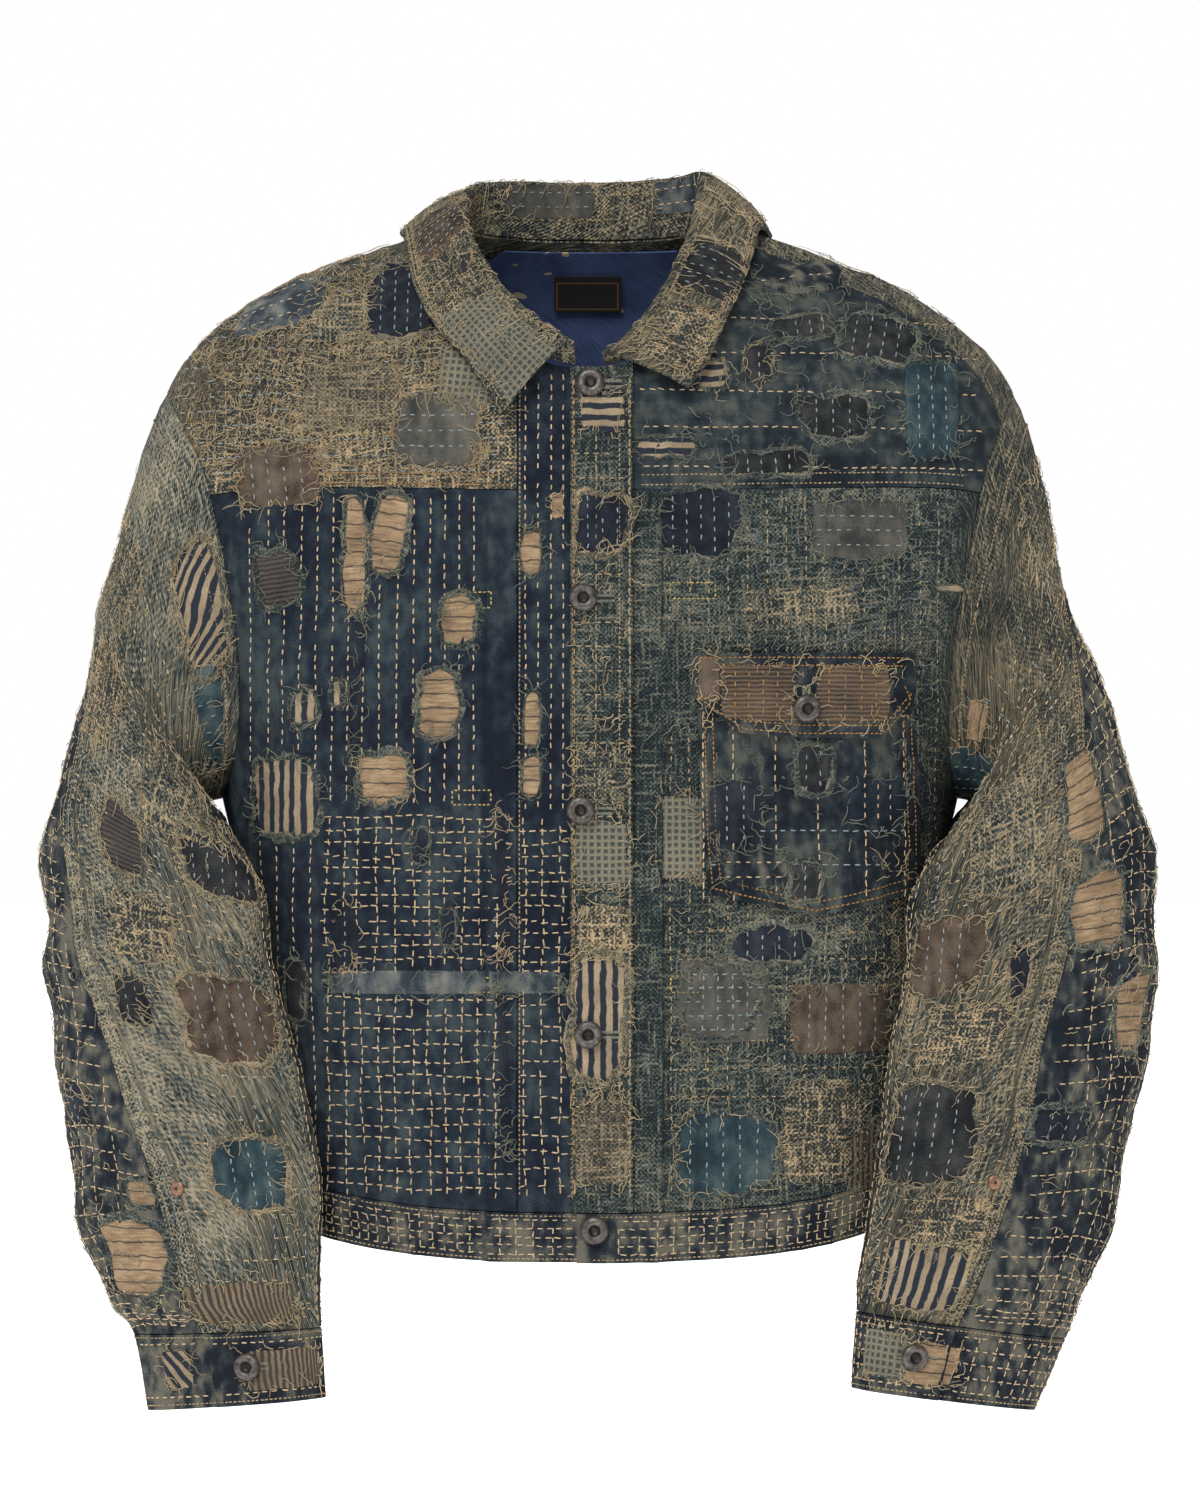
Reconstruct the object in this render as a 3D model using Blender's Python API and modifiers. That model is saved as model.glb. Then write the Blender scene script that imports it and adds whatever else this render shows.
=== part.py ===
"""Patched boro work jacket: buttoned up and filled out, with nobody inside.

Metres, +Z up, the front faces -Y and the wearer's left side is +X.  The origin is the middle of the
neck, level with the seam of the collar at the back.  Every piece that a maker would cut is one wall
of cloth, and the walls are all read from two surfaces: the torso, a stack of tilted rings, and a
sleeve, a tube that leaves the armhole and hangs in front of the side.
"""

import math

import bpy
import numpy as np
from mathutils import Matrix, Vector

# Driving sizes -------------------------------------------------------------------------------------
CLOTH = 0.0020            # the quilted, patched cloth
BAND_CLOTH = 0.0024       # waistband, cuffs and collar, which are doubled
LINING_CLOTH, LINING_GAP = 0.0012, 0.0018
LABEL_CLOTH, LABEL_GAP = 0.0008, 0.0015
SEAM_GAP = 0.0008         # between two pieces that are sewn together
WIDE_GAP = 0.0030         # where two pieces meet in a tight bend
LAP = 0.0028              # how far a lapped piece stands in front of the one under it
POCKET_LIFT = 0.0036      # outer face of the pocket, from the front
FLAP_LIFT = 0.0074

PLACKET_LEFT_X = (-0.0120, 0.0265)     # the left front laps over the right one
PLACKET_RIGHT_X = (-0.0450, 0.0150)
FRONT_EDGE_X = {"L": 0.0245, "R": -0.0450}
PLEAT_X = {"L": 0.0450, "R": -0.0640}
PLEAT_STEP = 0.0030
PLEAT_RUN = 0.0150

BAND_TOP_V = 0.05
EDGE_EASE = 1.8                        # how closely a body's grid keeps to the armhole's edge
FRONT_YOKE_V, BACK_YOKE_V = 0.818, 0.790      # heights of the yoke seams in the middle
NECK_SEAM_ANGLE = 80.0                 # where the shoulder seam reaches the neck
UNDERARM_V, ARMHOLE_TOP_V = 0.50, 0.86
ARMHOLE_FRONT = {"L": 31.0, "R": 35.0}
ARMHOLE_BACK = 24.0
ARMHOLE_SQUARENESS = (2.3, 3.4)        # of its lower and its upper half
SIDE_ROUNDING = 1.25                   # how a ring's height eases from the side to the front and back

BUTTON_RADIUS = 0.00875
BUTTON_ZS = (-0.1070, -0.2400, -0.3715, -0.5100, -0.6310)
BUTTON_XS = (0.0005, -0.0040, -0.0055, -0.0010, 0.0030)


def table(columns, *rows):
    """A short table as a dictionary: column name to an array with a value for each row."""
    return dict(zip(columns.split(), np.array(rows, float).T))


# The torso: rings from the hem to the neck.  A ring is a rounded oblong whose height differs at the
# front, the side and the back.
TORSO = table(
    "v     z_front  z_side  z_back  half_width depth_front depth_back roundness",
    (0.00, -0.652, -0.619, -0.645, 0.207, 0.124, 0.118, 2.70),
    (0.05, -0.621, -0.588, -0.614, 0.209, 0.126, 0.120, 2.70),
    (0.20, -0.530, -0.507, -0.528, 0.214, 0.129, 0.126, 2.60),
    (0.38, -0.430, -0.424, -0.432, 0.224, 0.131, 0.131, 2.60),
    (0.50, -0.360, -0.365, -0.360, 0.236, 0.130, 0.133, 2.60),
    (0.62, -0.285, -0.285, -0.270, 0.254, 0.127, 0.132, 2.60),
    (0.72, -0.225, -0.205, -0.195, 0.268, 0.123, 0.127, 2.60),
    (0.80, -0.181, -0.145, -0.140, 0.276, 0.119, 0.119, 2.55),
    (0.86, -0.153, -0.103, -0.096, 0.272, 0.116, 0.109, 2.50),
    (0.90, -0.136, -0.069, -0.068, 0.246, 0.114, 0.101, 2.45),
    (0.94, -0.119, -0.035, -0.040, 0.196, 0.112, 0.091, 2.35),
    (0.97, -0.107, -0.013, -0.019, 0.140, 0.110, 0.079, 2.25),
    (1.00, -0.094, 0.005, 0.000, 0.088, 0.106, 0.065, 2.20),
)

# The sleeves: rings from just below the armhole to the end of the cuff.  A ring is an oval between
# its outer and its inner point, with its own fullness towards the front and the back.
SLEEVE_COLUMNS = "outer_x outer_y outer_z inner_x inner_y inner_z front back"
SLEEVES = {
    "L": table(
        SLEEVE_COLUMNS,
        (0.3020, -0.006, -0.237, 0.2450, -0.046, -0.371, 0.056, 0.062),
        (0.3190, -0.012, -0.284, 0.2300, -0.082, -0.391, 0.050, 0.047),
        (0.3350, -0.018, -0.341, 0.2165, -0.102, -0.412, 0.048, 0.034),
        (0.3490, -0.024, -0.410, 0.2050, -0.106, -0.443, 0.046, 0.030),
        (0.3520, -0.030, -0.471, 0.1980, -0.110, -0.482, 0.044, 0.025),
        (0.3480, -0.038, -0.532, 0.1870, -0.115, -0.532, 0.040, 0.022),
        (0.3320, -0.050, -0.607, 0.1790, -0.119, -0.598, 0.034, 0.020),
        (0.3090, -0.066, -0.675, 0.1700, -0.123, -0.655, 0.026, 0.016),
        (0.2985, -0.074, -0.704, 0.1660, -0.125, -0.682, 0.017, 0.013),
        (0.2790, -0.084, -0.748, 0.1625, -0.128, -0.729, 0.013, 0.011),
    ),
    "R": table(
        SLEEVE_COLUMNS,
        (-0.3070, -0.006, -0.220, -0.2500, -0.029, -0.370, 0.058, 0.053),
        (-0.3145, -0.012, -0.284, -0.2318, -0.080, -0.393, 0.050, 0.047),
        (-0.3275, -0.018, -0.345, -0.2185, -0.103, -0.414, 0.048, 0.034),
        (-0.3370, -0.024, -0.412, -0.2068, -0.106, -0.447, 0.046, 0.030),
        (-0.3360, -0.030, -0.470, -0.1950, -0.110, -0.485, 0.044, 0.025),
        (-0.3310, -0.038, -0.533, -0.1800, -0.115, -0.540, 0.040, 0.022),
        (-0.3220, -0.050, -0.606, -0.1690, -0.119, -0.607, 0.034, 0.020),
        (-0.3040, -0.067, -0.675, -0.1690, -0.123, -0.668, 0.026, 0.016),
        (-0.2860, -0.074, -0.701, -0.1670, -0.125, -0.692, 0.017, 0.013),
        (-0.2765, -0.084, -0.748, -0.1640, -0.128, -0.735, 0.013, 0.011),
    ),
}
CUFF_TOP_RING = 9.0
CUFF_END_RING = 10.0
ELBOW_RING = 5.0

# The seam between a sleeve's upper and under piece: its angle round the sleeve at each ring.
# 0 is the outer edge, 90 the front, 180 the inner edge and -90 the back.
SLEEVE_SEAM = {
    "L": table("ring angle", (0, -17), (1, 30), (2, 62), (3, 78), (4, 86), (5, 91), (7, 93), (9, 96)),
    "R": table("ring angle", (0, -17), (1, 5), (2, 32), (3, 48), (4, 60), (5, 66), (7, 84), (9, 84)),
}
CUFF_END_ANGLE = {"L": 98.0, "R": 86.0}
CUFF_LAP = 34.0
CUFF_BUTTON_TURN = 19.0

# Angles round the armhole that its panels and the sleeve share: 0 on top, + in front, 180 below.
ARMHOLE_FRONT_ANGLES = (0, 17, 35, 51, 68, 90, 112, 135, 158, 180)
ARMHOLE_BACK_ANGLES = (-17, -35, -51, -68, -90, -112, -135, -158, -180)
SHOULDER_ANGLE, YOKE_ANGLE, SLEEVE_SEAM_START = 35, 68, -17

# Folds of the body: soft vertical ridges from a top to a bottom point, at the front (-1) or back (1).
FOLDS = table(
    "face x_top  z_top   x_bottom z_bottom half_width height",
    (-1, -0.124, -0.200, -0.150, -0.560, 0.022, 0.0060),
    (-1, -0.178, -0.230, -0.180, -0.520, 0.017, 0.0045),
    (-1, 0.172, -0.200, 0.164, -0.560, 0.019, 0.0045),
    (1, -0.105, -0.180, -0.125, -0.590, 0.024, 0.0065),
    (1, 0.110, -0.180, 0.120, -0.590, 0.024, 0.0065),
    (1, 0.012, -0.330, -0.006, -0.600, 0.028, 0.0045),
)
FOLD_FADE = 0.05

# Folds of a sleeve: ridges across it, each round a ring and an angle, leaning by `lean` rings a radian.
SLEEVE_FOLDS = table(
    "ring angle half_ring half_angle lean height",
    (1.5, 125, 0.35, 50, 0.5, 0.0050),
    (2.6, 120, 0.35, 55, 0.5, 0.0060),
    (3.9, 20, 0.40, 50, -0.5, 0.0070),
    (5.0, 30, 0.35, 50, -0.4, 0.0060),
    (6.2, 60, 0.35, 60, 0.4, 0.0050),
    (7.4, 20, 0.30, 60, -0.3, 0.0050),
    (4.2, -110, 0.45, 60, 0.4, 0.0050),
    (6.0, -60, 0.40, 60, -0.4, 0.0050),
)

# The collar, from the end on the right front, round the back, to the end on the left front: where it
# is sewn on (angle), the crest of its roll, and where its edge lies on the torso.
COLLAR = table(
    "seam_angle roll_x  roll_y  roll_z  edge_v  edge_angle",
    (-5.0, -0.0100, -0.1130, -0.0800, 0.920, -10.3),
    (-17.0, -0.0250, -0.1070, -0.0705, 0.950, -17.7),
    (-32.0, -0.0430, -0.0920, -0.0555, 0.969, -31.0),
    (-50.0, -0.0585, -0.0660, -0.0365, 0.975, -45.6),
    (-70.0, -0.0720, -0.0350, -0.0130, 0.979, -60.0),
    (-90.0, -0.0790, 0.0020, 0.0110, 0.982, -74.0),
    (-110.0, -0.0750, 0.0320, 0.0300, 0.982, -92.0),
    (-130.0, -0.0620, 0.0500, 0.0350, 0.977, -116.0),
    (-155.0, -0.0350, 0.0640, 0.0365, 0.972, -148.0),
    (-180.0, 0.0, 0.0690, 0.0370, 0.972, -180.0),
    (-203.0, 0.0350, 0.0640, 0.0380, 0.972, -210.0),
    (-225.0, 0.0620, 0.0510, 0.0395, 0.976, -238.0),
    (-245.0, 0.0735, 0.0330, 0.0390, 0.984, -260.0),
    (-265.0, 0.0690, 0.0080, 0.0280, 0.989, -277.5),
    (-285.0, 0.0660, -0.0220, 0.0080, 0.989, -287.0),
    (-305.0, 0.0575, -0.0580, -0.0190, 0.988, -299.5),
    (-322.0, 0.0460, -0.0860, -0.0435, 0.985, -311.5),
    (-336.0, 0.0310, -0.1010, -0.0665, 0.978, -323.5),
    (-346.0, 0.0190, -0.1080, -0.0795, 0.962, -336.5),
    (-355.0, 0.0085, -0.1125, -0.0870, 0.949, -343.5),
)
COLLAR_COLUMNS = 28
COLLAR_ROLL_WIDTH = 0.0080
COLLAR_EDGE_LIFT = 0.0075
COLLAR_BULGE = 0.0035

# Outlines on the left front, as seen from the front: left and right edge at each height.
POCKET = table(
    "z      x_left  x_right",
    (-0.3050, 0.0665, 0.2010),
    (-0.3400, 0.0680, 0.2040),
    (-0.3900, 0.0700, 0.2050),
    (-0.4230, 0.0730, 0.2040),
)
POCKET_POINT_DROP = 0.0140
FLAP = table(
    "x     z_top   z_bottom",
    (0.0630, -0.2745, -0.3000),
    (0.0670, -0.2745, -0.3050),
    (0.0950, -0.2745, -0.3240),
    (0.1330, -0.2740, -0.3265),
    (0.1790, -0.2730, -0.3260),
    (0.1960, -0.2730, -0.3080),
    (0.2000, -0.2730, -0.3000),
)
POCKET_BUTTON = (0.1330, -0.3085)

LINING_V = (0.62, 0.992)
LINING_ANGLES = (148.0, 212.0)
LABEL_X, LABEL_Z = (-0.0240, 0.0205), (-0.0420, -0.0190)

# Colours, as linear red, green and blue, with roughness and metallic.
FINISHES = {
    "khaki_weave": ((0.110, 0.115, 0.090), 0.92, 0.0),
    "indigo": ((0.018, 0.035, 0.075), 0.90, 0.0),
    "faded_indigo": ((0.035, 0.065, 0.095), 0.90, 0.0),
    "cross_stitched": ((0.040, 0.055, 0.080), 0.92, 0.0),
    "lining_blue": ((0.025, 0.040, 0.160), 0.80, 0.0),
    "label_black": ((0.010, 0.009, 0.008), 0.75, 0.0),
    "dark_metal": ((0.120, 0.110, 0.100), 0.45, 1.0),
    "copper": ((0.420, 0.180, 0.110), 0.45, 1.0),
}


# Curves and surfaces -------------------------------------------------------------------------------
def along(t, knots, values):
    """Smooth curve through the values at the knots: cubic pieces that share their slopes."""
    t = np.asarray(t, float)
    slopes = np.gradient(values, knots)
    i = np.clip(np.searchsorted(knots, t, side="right") - 1, 0, len(knots) - 2)
    step = knots[i + 1] - knots[i]
    f = (t - knots[i]) / step
    start, end = values[i], values[i + 1]
    return (
        start * (1 + 2 * f) * (1 - f) ** 2
        + end * f * f * (3 - 2 * f)
        + step * (slopes[i] * f * (1 - f) ** 2 - slopes[i + 1] * f * f * (1 - f))
    )


def power(value, exponent):
    """The value's size to a power, with its sign kept: it squares off an oval."""
    return np.sign(value) * np.abs(value) ** exponent


def ring_sizes(v, *names):
    return [along(v, TORSO["v"], TORSO[name]) for name in names]


def torso(v, angle):
    """Point of the torso at height v (0 the hem, 1 the neck) and angle (radians from the front, + to
    the wearer's left)."""
    z_front, z_side, z_back, width, front, back, roundness = ring_sizes(
        v, "z_front", "z_side", "z_back", "half_width", "depth_front", "depth_back", "roundness"
    )
    c, s = np.cos(angle), np.sin(angle)
    ahead = c > 0
    x = width * power(s, 2 / roundness)
    y = -np.where(ahead, front, back) * power(c, 2 / roundness)
    z = z_side + (np.where(ahead, z_front, z_back) - z_side) * np.abs(c) ** SIDE_ROUNDING
    return np.stack(np.broadcast_arrays(x, y, z), axis=-1)


def unit(vectors):
    return vectors / np.linalg.norm(vectors, axis=-1, keepdims=True)


def torso_normal(v, angle):
    """Unit vector out of the torso: across its tangents, from small steps along and round it."""
    step = 1e-3
    round_it = torso(v, angle + step) - torso(v, angle - step)
    up_it = torso(v + step, angle) - torso(v - step, angle)
    return unit(np.cross(round_it, up_it))


def body_folds(points):
    """How far the cloth stands out at these points of the torso: pleats and soft vertical ridges."""
    x, y, z = points[..., 0], points[..., 1], points[..., 2]
    out = np.zeros_like(x)
    for face, x_top, z_top, x_bottom, z_bottom, half_width, height in zip(*FOLDS.values()):
        f = np.clip((z_top - z) / (z_top - z_bottom), 0, 1)
        across = (x - (x_top + (x_bottom - x_top) * f)) / half_width
        fade = np.clip((z_top - z) / FOLD_FADE, 0, 1) * np.clip((z - z_bottom) / FOLD_FADE, 0, 1)
        out += height * np.exp(-across**2) * fade * (y * face > 0)
    for side, pleat in PLEAT_X.items():
        inward = (pleat - x) * math.copysign(1, pleat)
        ramp = PLEAT_STEP * np.clip(1 - inward / PLEAT_RUN, 0, 1) * (inward >= 0)
        below_yoke = np.clip((-0.175 - z) / 0.01, 0, 1)
        out += ramp * below_yoke * (y < 0)
    return out


def skin(v, angle, lift=0.0, folded=True):
    """(points, normals) of cloth on the torso, with its folds, moved out by lift."""
    points, normals = torso(v, angle), torso_normal(v, angle)
    stand = lift + body_folds(points) * folded
    return points + normals * stand[..., None], normals


def angle_at(v, x):
    """The angle, in front, at which the ring v is x from the middle."""
    width, roundness = ring_sizes(v, "half_width", "roundness")
    return np.arcsin(np.clip(power(x / width, roundness / 2), -1, 1))


def front_spot(x, z):
    """(v, angle) of the point of the torso's front that is at x and z: v is found by halving."""
    x, z = np.broadcast_arrays(np.asarray(x, float), np.asarray(z, float))
    low, high = np.zeros_like(x), np.ones_like(x)
    for _ in range(40):
        v = (low + high) / 2
        under = torso(v, angle_at(v, x))[..., 2] < z
        low, high = np.where(under, v, low), np.where(under, high, v)
    return v, angle_at(v, x)


def armhole(side, turn):
    """(v, angle) on the torso at this turn (degrees) round the armhole."""
    turn = np.radians(np.asarray(turn, float))
    middle, half = (ARMHOLE_TOP_V + UNDERARM_V) / 2, (ARMHOLE_TOP_V - UNDERARM_V) / 2
    exponent = 2 / np.where(np.cos(turn) > 0, ARMHOLE_SQUARENESS[1], ARMHOLE_SQUARENESS[0])
    v = middle + half * power(np.cos(turn), exponent)
    width = np.radians(np.where(turn > 0, ARMHOLE_FRONT[side], ARMHOLE_BACK))
    angle = math.pi / 2 - width * power(np.sin(turn), exponent)
    return v, angle if side == "L" else -angle


def sleeve_folds(ring, turn):
    """How far the sleeve stands out: each row of the table is a soft ridge across it."""
    out = np.zeros(np.broadcast(ring, turn).shape)
    for middle, angle, half_ring, half_angle, lean, height in zip(*SLEEVE_FOLDS.values()):
        round_it = (turn - angle + 180) % 360 - 180
        along_it = ring - middle - lean * np.radians(round_it)
        out += height * np.exp(-((along_it / half_ring) ** 2) - (round_it / half_angle) ** 2)
    return out


def sleeve_rings(side, turn):
    """Points of every ring at these turns: the armhole first, then the rings of the table."""
    rings = SLEEVES[side]
    column = (-1,) + (1,) * turn.ndim
    outer, inner = (
        np.stack([rings[f"{edge}_{axis}"].reshape(column) for axis in "xyz"], axis=-1)
        for edge in ("outer", "inner")
    )
    across = unit(outer - inner)
    ahead = unit(np.array([0.0, -1.0, 0.0]) + across * across[..., 1:2])
    c, s = np.cos(np.radians(turn)), np.sin(np.radians(turn))
    squareness = 2 / 2.3
    bulge = np.where(s > 0, rings["front"].reshape(column), rings["back"].reshape(column))
    points = (
        (outer + inner) / 2
        + (outer - inner) / 2 * power(c, squareness)[None, ..., None]
        + ahead * (bulge * power(s, squareness))[..., None]
    )
    return np.concatenate([torso(*armhole(side, turn))[None], points])


def sleeve_base(side, ring, turn):
    """Point of a sleeve at this ring (0 the armhole, 10 the end) and turn, without its folds."""
    ring, turn = np.broadcast_arrays(np.asarray(ring, float), np.asarray(turn, float))
    points = sleeve_rings(side, turn)
    out = 1 if side == "L" else -1
    below = (1 - np.cos(np.radians(turn)))[..., None] / 2
    leave = (1 - below) * np.array([0.45 * out, 0, -0.89]) + below * np.array([0.97 * out, -0.1, -0.20])
    rim = unit(torso(*armhole(side, turn + 0.5)) - torso(*armhole(side, turn - 0.5)))
    leave = unit(leave - rim * (leave * rim).sum(axis=-1, keepdims=True))
    slopes = np.gradient(points, axis=0)
    slopes[0] = leave * np.linalg.norm(points[1] - points[0], axis=-1, keepdims=True)
    i = np.clip(np.floor(ring).astype(int), 0, len(points) - 2)
    f = (ring - i)[..., None]

    def pick(values, index):
        return np.take_along_axis(values, index[None, ..., None], axis=0)[0]

    return (
        pick(points, i) * (1 + 2 * f) * (1 - f) ** 2
        + pick(points, i + 1) * f * f * (3 - 2 * f)
        + pick(slopes, i) * f * (1 - f) ** 2
        - pick(slopes, i + 1) * f * f * (1 - f)
    )


def sleeve_normal(side, ring, turn):
    step = 1e-3
    down = sleeve_base(side, ring + step, turn) - sleeve_base(side, ring - step, turn)
    round_it = sleeve_base(side, ring, turn + 60 * step) - sleeve_base(side, ring, turn - 60 * step)
    out = 1 if side == "L" else -1
    return unit(np.cross(round_it, down)) * out


def sleeve_skin(side, ring, turn, lift=0.0):
    """(points, normals) of cloth on the sleeve, with its folds, moved out by lift."""
    ring, turn = np.broadcast_arrays(np.asarray(ring, float), np.asarray(turn, float))
    normals = sleeve_normal(side, ring, turn)
    stand = lift + sleeve_folds(ring, turn) * np.clip(ring, 0, 1) * np.clip(CUFF_TOP_RING - ring, 0, 1)
    return sleeve_base(side, ring, turn) + normals * stand[..., None], normals


def armhole_mitre(side, turn):
    """At the armhole seam the body and the sleeve share this direction, so their walls meet face to
    face: it stands the same height over both."""
    turn = np.asarray(turn, float)
    body = torso_normal(*armhole(side, turn))
    sleeve = sleeve_normal(side, np.full(turn.shape, 1e-3), turn)
    facing = (body * sleeve).sum(axis=-1, keepdims=True)
    return (body + sleeve) / np.maximum(1 + facing, 0.35)


def between(bottom, top, left, right):
    """Coons patch: the grid whose four edges are these lists of points, filled in between."""
    bottom, top, left, right = (np.array(edge, float) for edge in (bottom, top, left, right))
    s = np.linspace(0, 1, len(bottom))[None, :, None]
    r = np.linspace(0, 1, len(left))[:, None, None]
    ruled = (1 - r) * bottom[None] + r * top[None] + (1 - s) * left[:, None] + s * right[:, None]
    corners = (1 - r) * ((1 - s) * bottom[0] + s * bottom[-1]) + r * ((1 - s) * top[0] + s * top[-1])
    return ruled - corners


def spread(start, end, count):
    return np.linspace(np.array(start, float), np.array(end, float), count)


# Making the objects --------------------------------------------------------------------------------
def clear_scene():
    for obj in list(bpy.data.objects):
        bpy.data.objects.remove(obj)


def finish(name):
    """The Principled material of this name, made once."""
    if name in bpy.data.materials:
        return bpy.data.materials[name]
    colour, roughness, metallic = FINISHES[name]
    material = bpy.data.materials.new(name)
    material.use_nodes = True
    shader = material.node_tree.nodes["Principled BSDF"]
    shader.inputs["Base Color"].default_value = (*colour, 1)
    shader.inputs["Roughness"].default_value = roughness
    shader.inputs["Metallic"].default_value = metallic
    return material


def add_object(name, mesh, finish_name):
    obj = bpy.data.objects.new(name, mesh)
    mesh.materials.append(finish(finish_name))
    bpy.data.collections["boro_jacket"].objects.link(obj)
    return obj


def wall(name, skin_grid, finish_name, thickness=CLOTH, gaps="btlr", wide=""):
    """A cloth panel: the grid of points is its outer face, and the inner face lies behind it by the
    thickness along the normals.  Each edge named in gaps (bottom, top, left, right) is drawn back by
    half a seam gap, or half the wide gap if it is also named in wide."""
    outer, normals = (np.array(part) for part in skin_grid)
    edges = {
        "b": (np.s_[0, :], np.s_[1, :]),
        "t": (np.s_[-1, :], np.s_[-2, :]),
        "l": (np.s_[:, 0], np.s_[:, 1]),
        "r": (np.s_[:, -1], np.s_[:, -2]),
    }
    shift = np.zeros_like(outer)
    for letter in gaps:
        edge, inside = edges[letter]
        back = (WIDE_GAP if letter in wide else SEAM_GAP) / 2
        shift[edge] += unit(outer[inside] - outer[edge]) * back
    outer = outer + shift
    across, up = outer[1:, 1:] - outer[1:, :-1], outer[1:, :-1] - outer[:-1, :-1]
    if (np.cross(across, up) * normals[1:, 1:]).sum() < 0:
        outer, normals = outer[:, ::-1], normals[:, ::-1]
    inner = outer - normals * thickness
    rows, columns = outer.shape[:2]
    index = np.arange(rows * columns).reshape(rows, columns)
    quads = np.stack([index[:-1, :-1], index[:-1, 1:], index[1:, 1:], index[1:, :-1]], axis=-1)
    quads = quads.reshape(-1, 4)
    corners = outer.reshape(-1, 3)[quads]
    diagonals = np.linalg.norm(corners[:, :2] - corners[:, 2:], axis=-1)
    quads = np.where((diagonals[:, 0] > diagonals[:, 1])[:, None], np.roll(quads, -1, axis=1), quads)
    halves = np.concatenate([quads[:, [0, 1, 2]], quads[:, [0, 2, 3]]])
    around = np.concatenate([index[0, :-1], index[:-1, -1], index[-1, :0:-1], index[:0:-1, 0]])
    after = np.roll(around, -1)
    rim = np.stack([after, around, around + rows * columns, after + rows * columns], axis=-1)
    faces = halves.tolist() + (halves[:, ::-1] + rows * columns).tolist() + rim.tolist()
    mesh = bpy.data.meshes.new(name)
    mesh.from_pydata(np.concatenate([outer.reshape(-1, 3), inner.reshape(-1, 3)]).tolist(), [], faces)
    mesh.shade_smooth()
    mesh.set_sharp_from_angle(angle=math.radians(50))
    return add_object(name, mesh, finish_name)


def torso_panel(name, spots, finish_name, lift=0.0, mitres=(), folded=True, **options):
    """A panel of the torso over a grid of (v, angle) spots; each of mitres is a stretch of its edge
    that lies on an armhole, with the directions that take the place of its normals."""
    points, normals = skin(spots[..., 0], spots[..., 1], lift, folded)
    for place, directions in mitres:
        normals[place] = directions
    return wall(name, (points, normals), finish_name, **options)


def stack(v, angle):
    return np.stack(np.broadcast_arrays(v, angle), axis=-1)


def turned(name, profile, steps, finish_name, point, direction):
    """A turned piece: the profile (radius, height), from the top of its axis outwards and round to
    the bottom, swept by a Screw modifier and set on the cloth."""
    mesh = bpy.data.meshes.new(name)
    mesh.from_pydata([(r, 0, z) for r, z in profile], [(i, i + 1) for i in range(len(profile) - 1)], [])
    obj = add_object(name, mesh, finish_name)
    screw = obj.modifiers.new("Turn", "SCREW")
    screw.steps = screw.render_steps = steps
    screw.use_merge_vertices = True
    screw.merge_threshold = 1e-5
    screw.use_smooth_shade = True
    facing = Vector(direction).to_track_quat("Z", "Y").to_matrix().to_4x4()
    obj.matrix_world = Matrix.Translation(Vector(point)) @ facing
    return obj


# The pieces ----------------------------------------------------------------------------------------
def front_columns(side, v):
    """Angles across a front at these heights: the placket's edge, the two sides of the pleat's step,
    then evenly to the side seam or the armhole."""
    toward = math.copysign(1, FRONT_EDGE_X[side])
    xs = (FRONT_EDGE_X[side], PLEAT_X[side] - 0.0170 * toward, PLEAT_X[side] - 0.0004 * toward)
    fixed = [angle_at(v, x) for x in xs]
    return fixed, angle_at(v, PLEAT_X[side] + 0.0010 * toward)


def yoke_line(middle_v, edge_v, share):
    """Height of a yoke's seam at this share of the way from the middle to the armhole."""
    return middle_v + (edge_v - middle_v) * share**2


def armhole_turns(first, last):
    """The shared armhole angles from first to last, in order."""
    every = np.array(sorted(ARMHOLE_FRONT_ANGLES + ARMHOLE_BACK_ANGLES))
    low, high = min(first, last), max(first, last)
    chosen = every[(every >= low) & (every <= high)].astype(float)
    return chosen if first < last else chosen[::-1]


def front_body(side):
    """From the waistband to the yoke and from the placket to the side seam and the armhole."""
    turns = armhole_turns(180, YOKE_ANGLE)
    arm_v, arm_angle = armhole(side, turns)
    side_v = np.linspace(BAND_TOP_V, UNDERARM_V, 6)[:-1]
    quarter = math.pi / 2 if side == "L" else -math.pi / 2
    outer_v = np.concatenate([side_v, arm_v])
    outer_angle = np.concatenate([np.full(len(side_v), quarter), arm_angle])
    inner_v = np.linspace(BAND_TOP_V, FRONT_YOKE_V, len(outer_v))
    fixed, start = front_columns(side, inner_v)
    rest = start[:, None] + (quarter - start)[:, None] * np.linspace(0, 1, 10)
    angles = np.concatenate([np.stack(fixed, axis=1), rest], axis=1)
    share = (angles - angles[:, :1]) / (angles[:, -1:] - angles[:, :1])
    angles = angles + (outer_angle - quarter)[:, None] * share**EDGE_EASE
    rise = np.linspace(0, 1, len(outer_v))[:, None]
    seam_share = (angles[-1] - angles[-1, 0]) / (angles[-1, -1] - angles[-1, 0])
    v = BAND_TOP_V + (yoke_line(FRONT_YOKE_V, arm_v[-1], seam_share) - BAND_TOP_V) * rise
    spots = stack(v + (outer_v[:, None] - v[:, -1:]) * share**EDGE_EASE, angles)
    mitre = armhole_mitre(side, turns)
    edge = np.s_[len(side_v):, -1]
    finish_name = "khaki_weave" if side == "L" else "indigo"
    return torso_panel(f"front_body_{side}", spots, finish_name, mitres=[(edge, mitre)])


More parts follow.
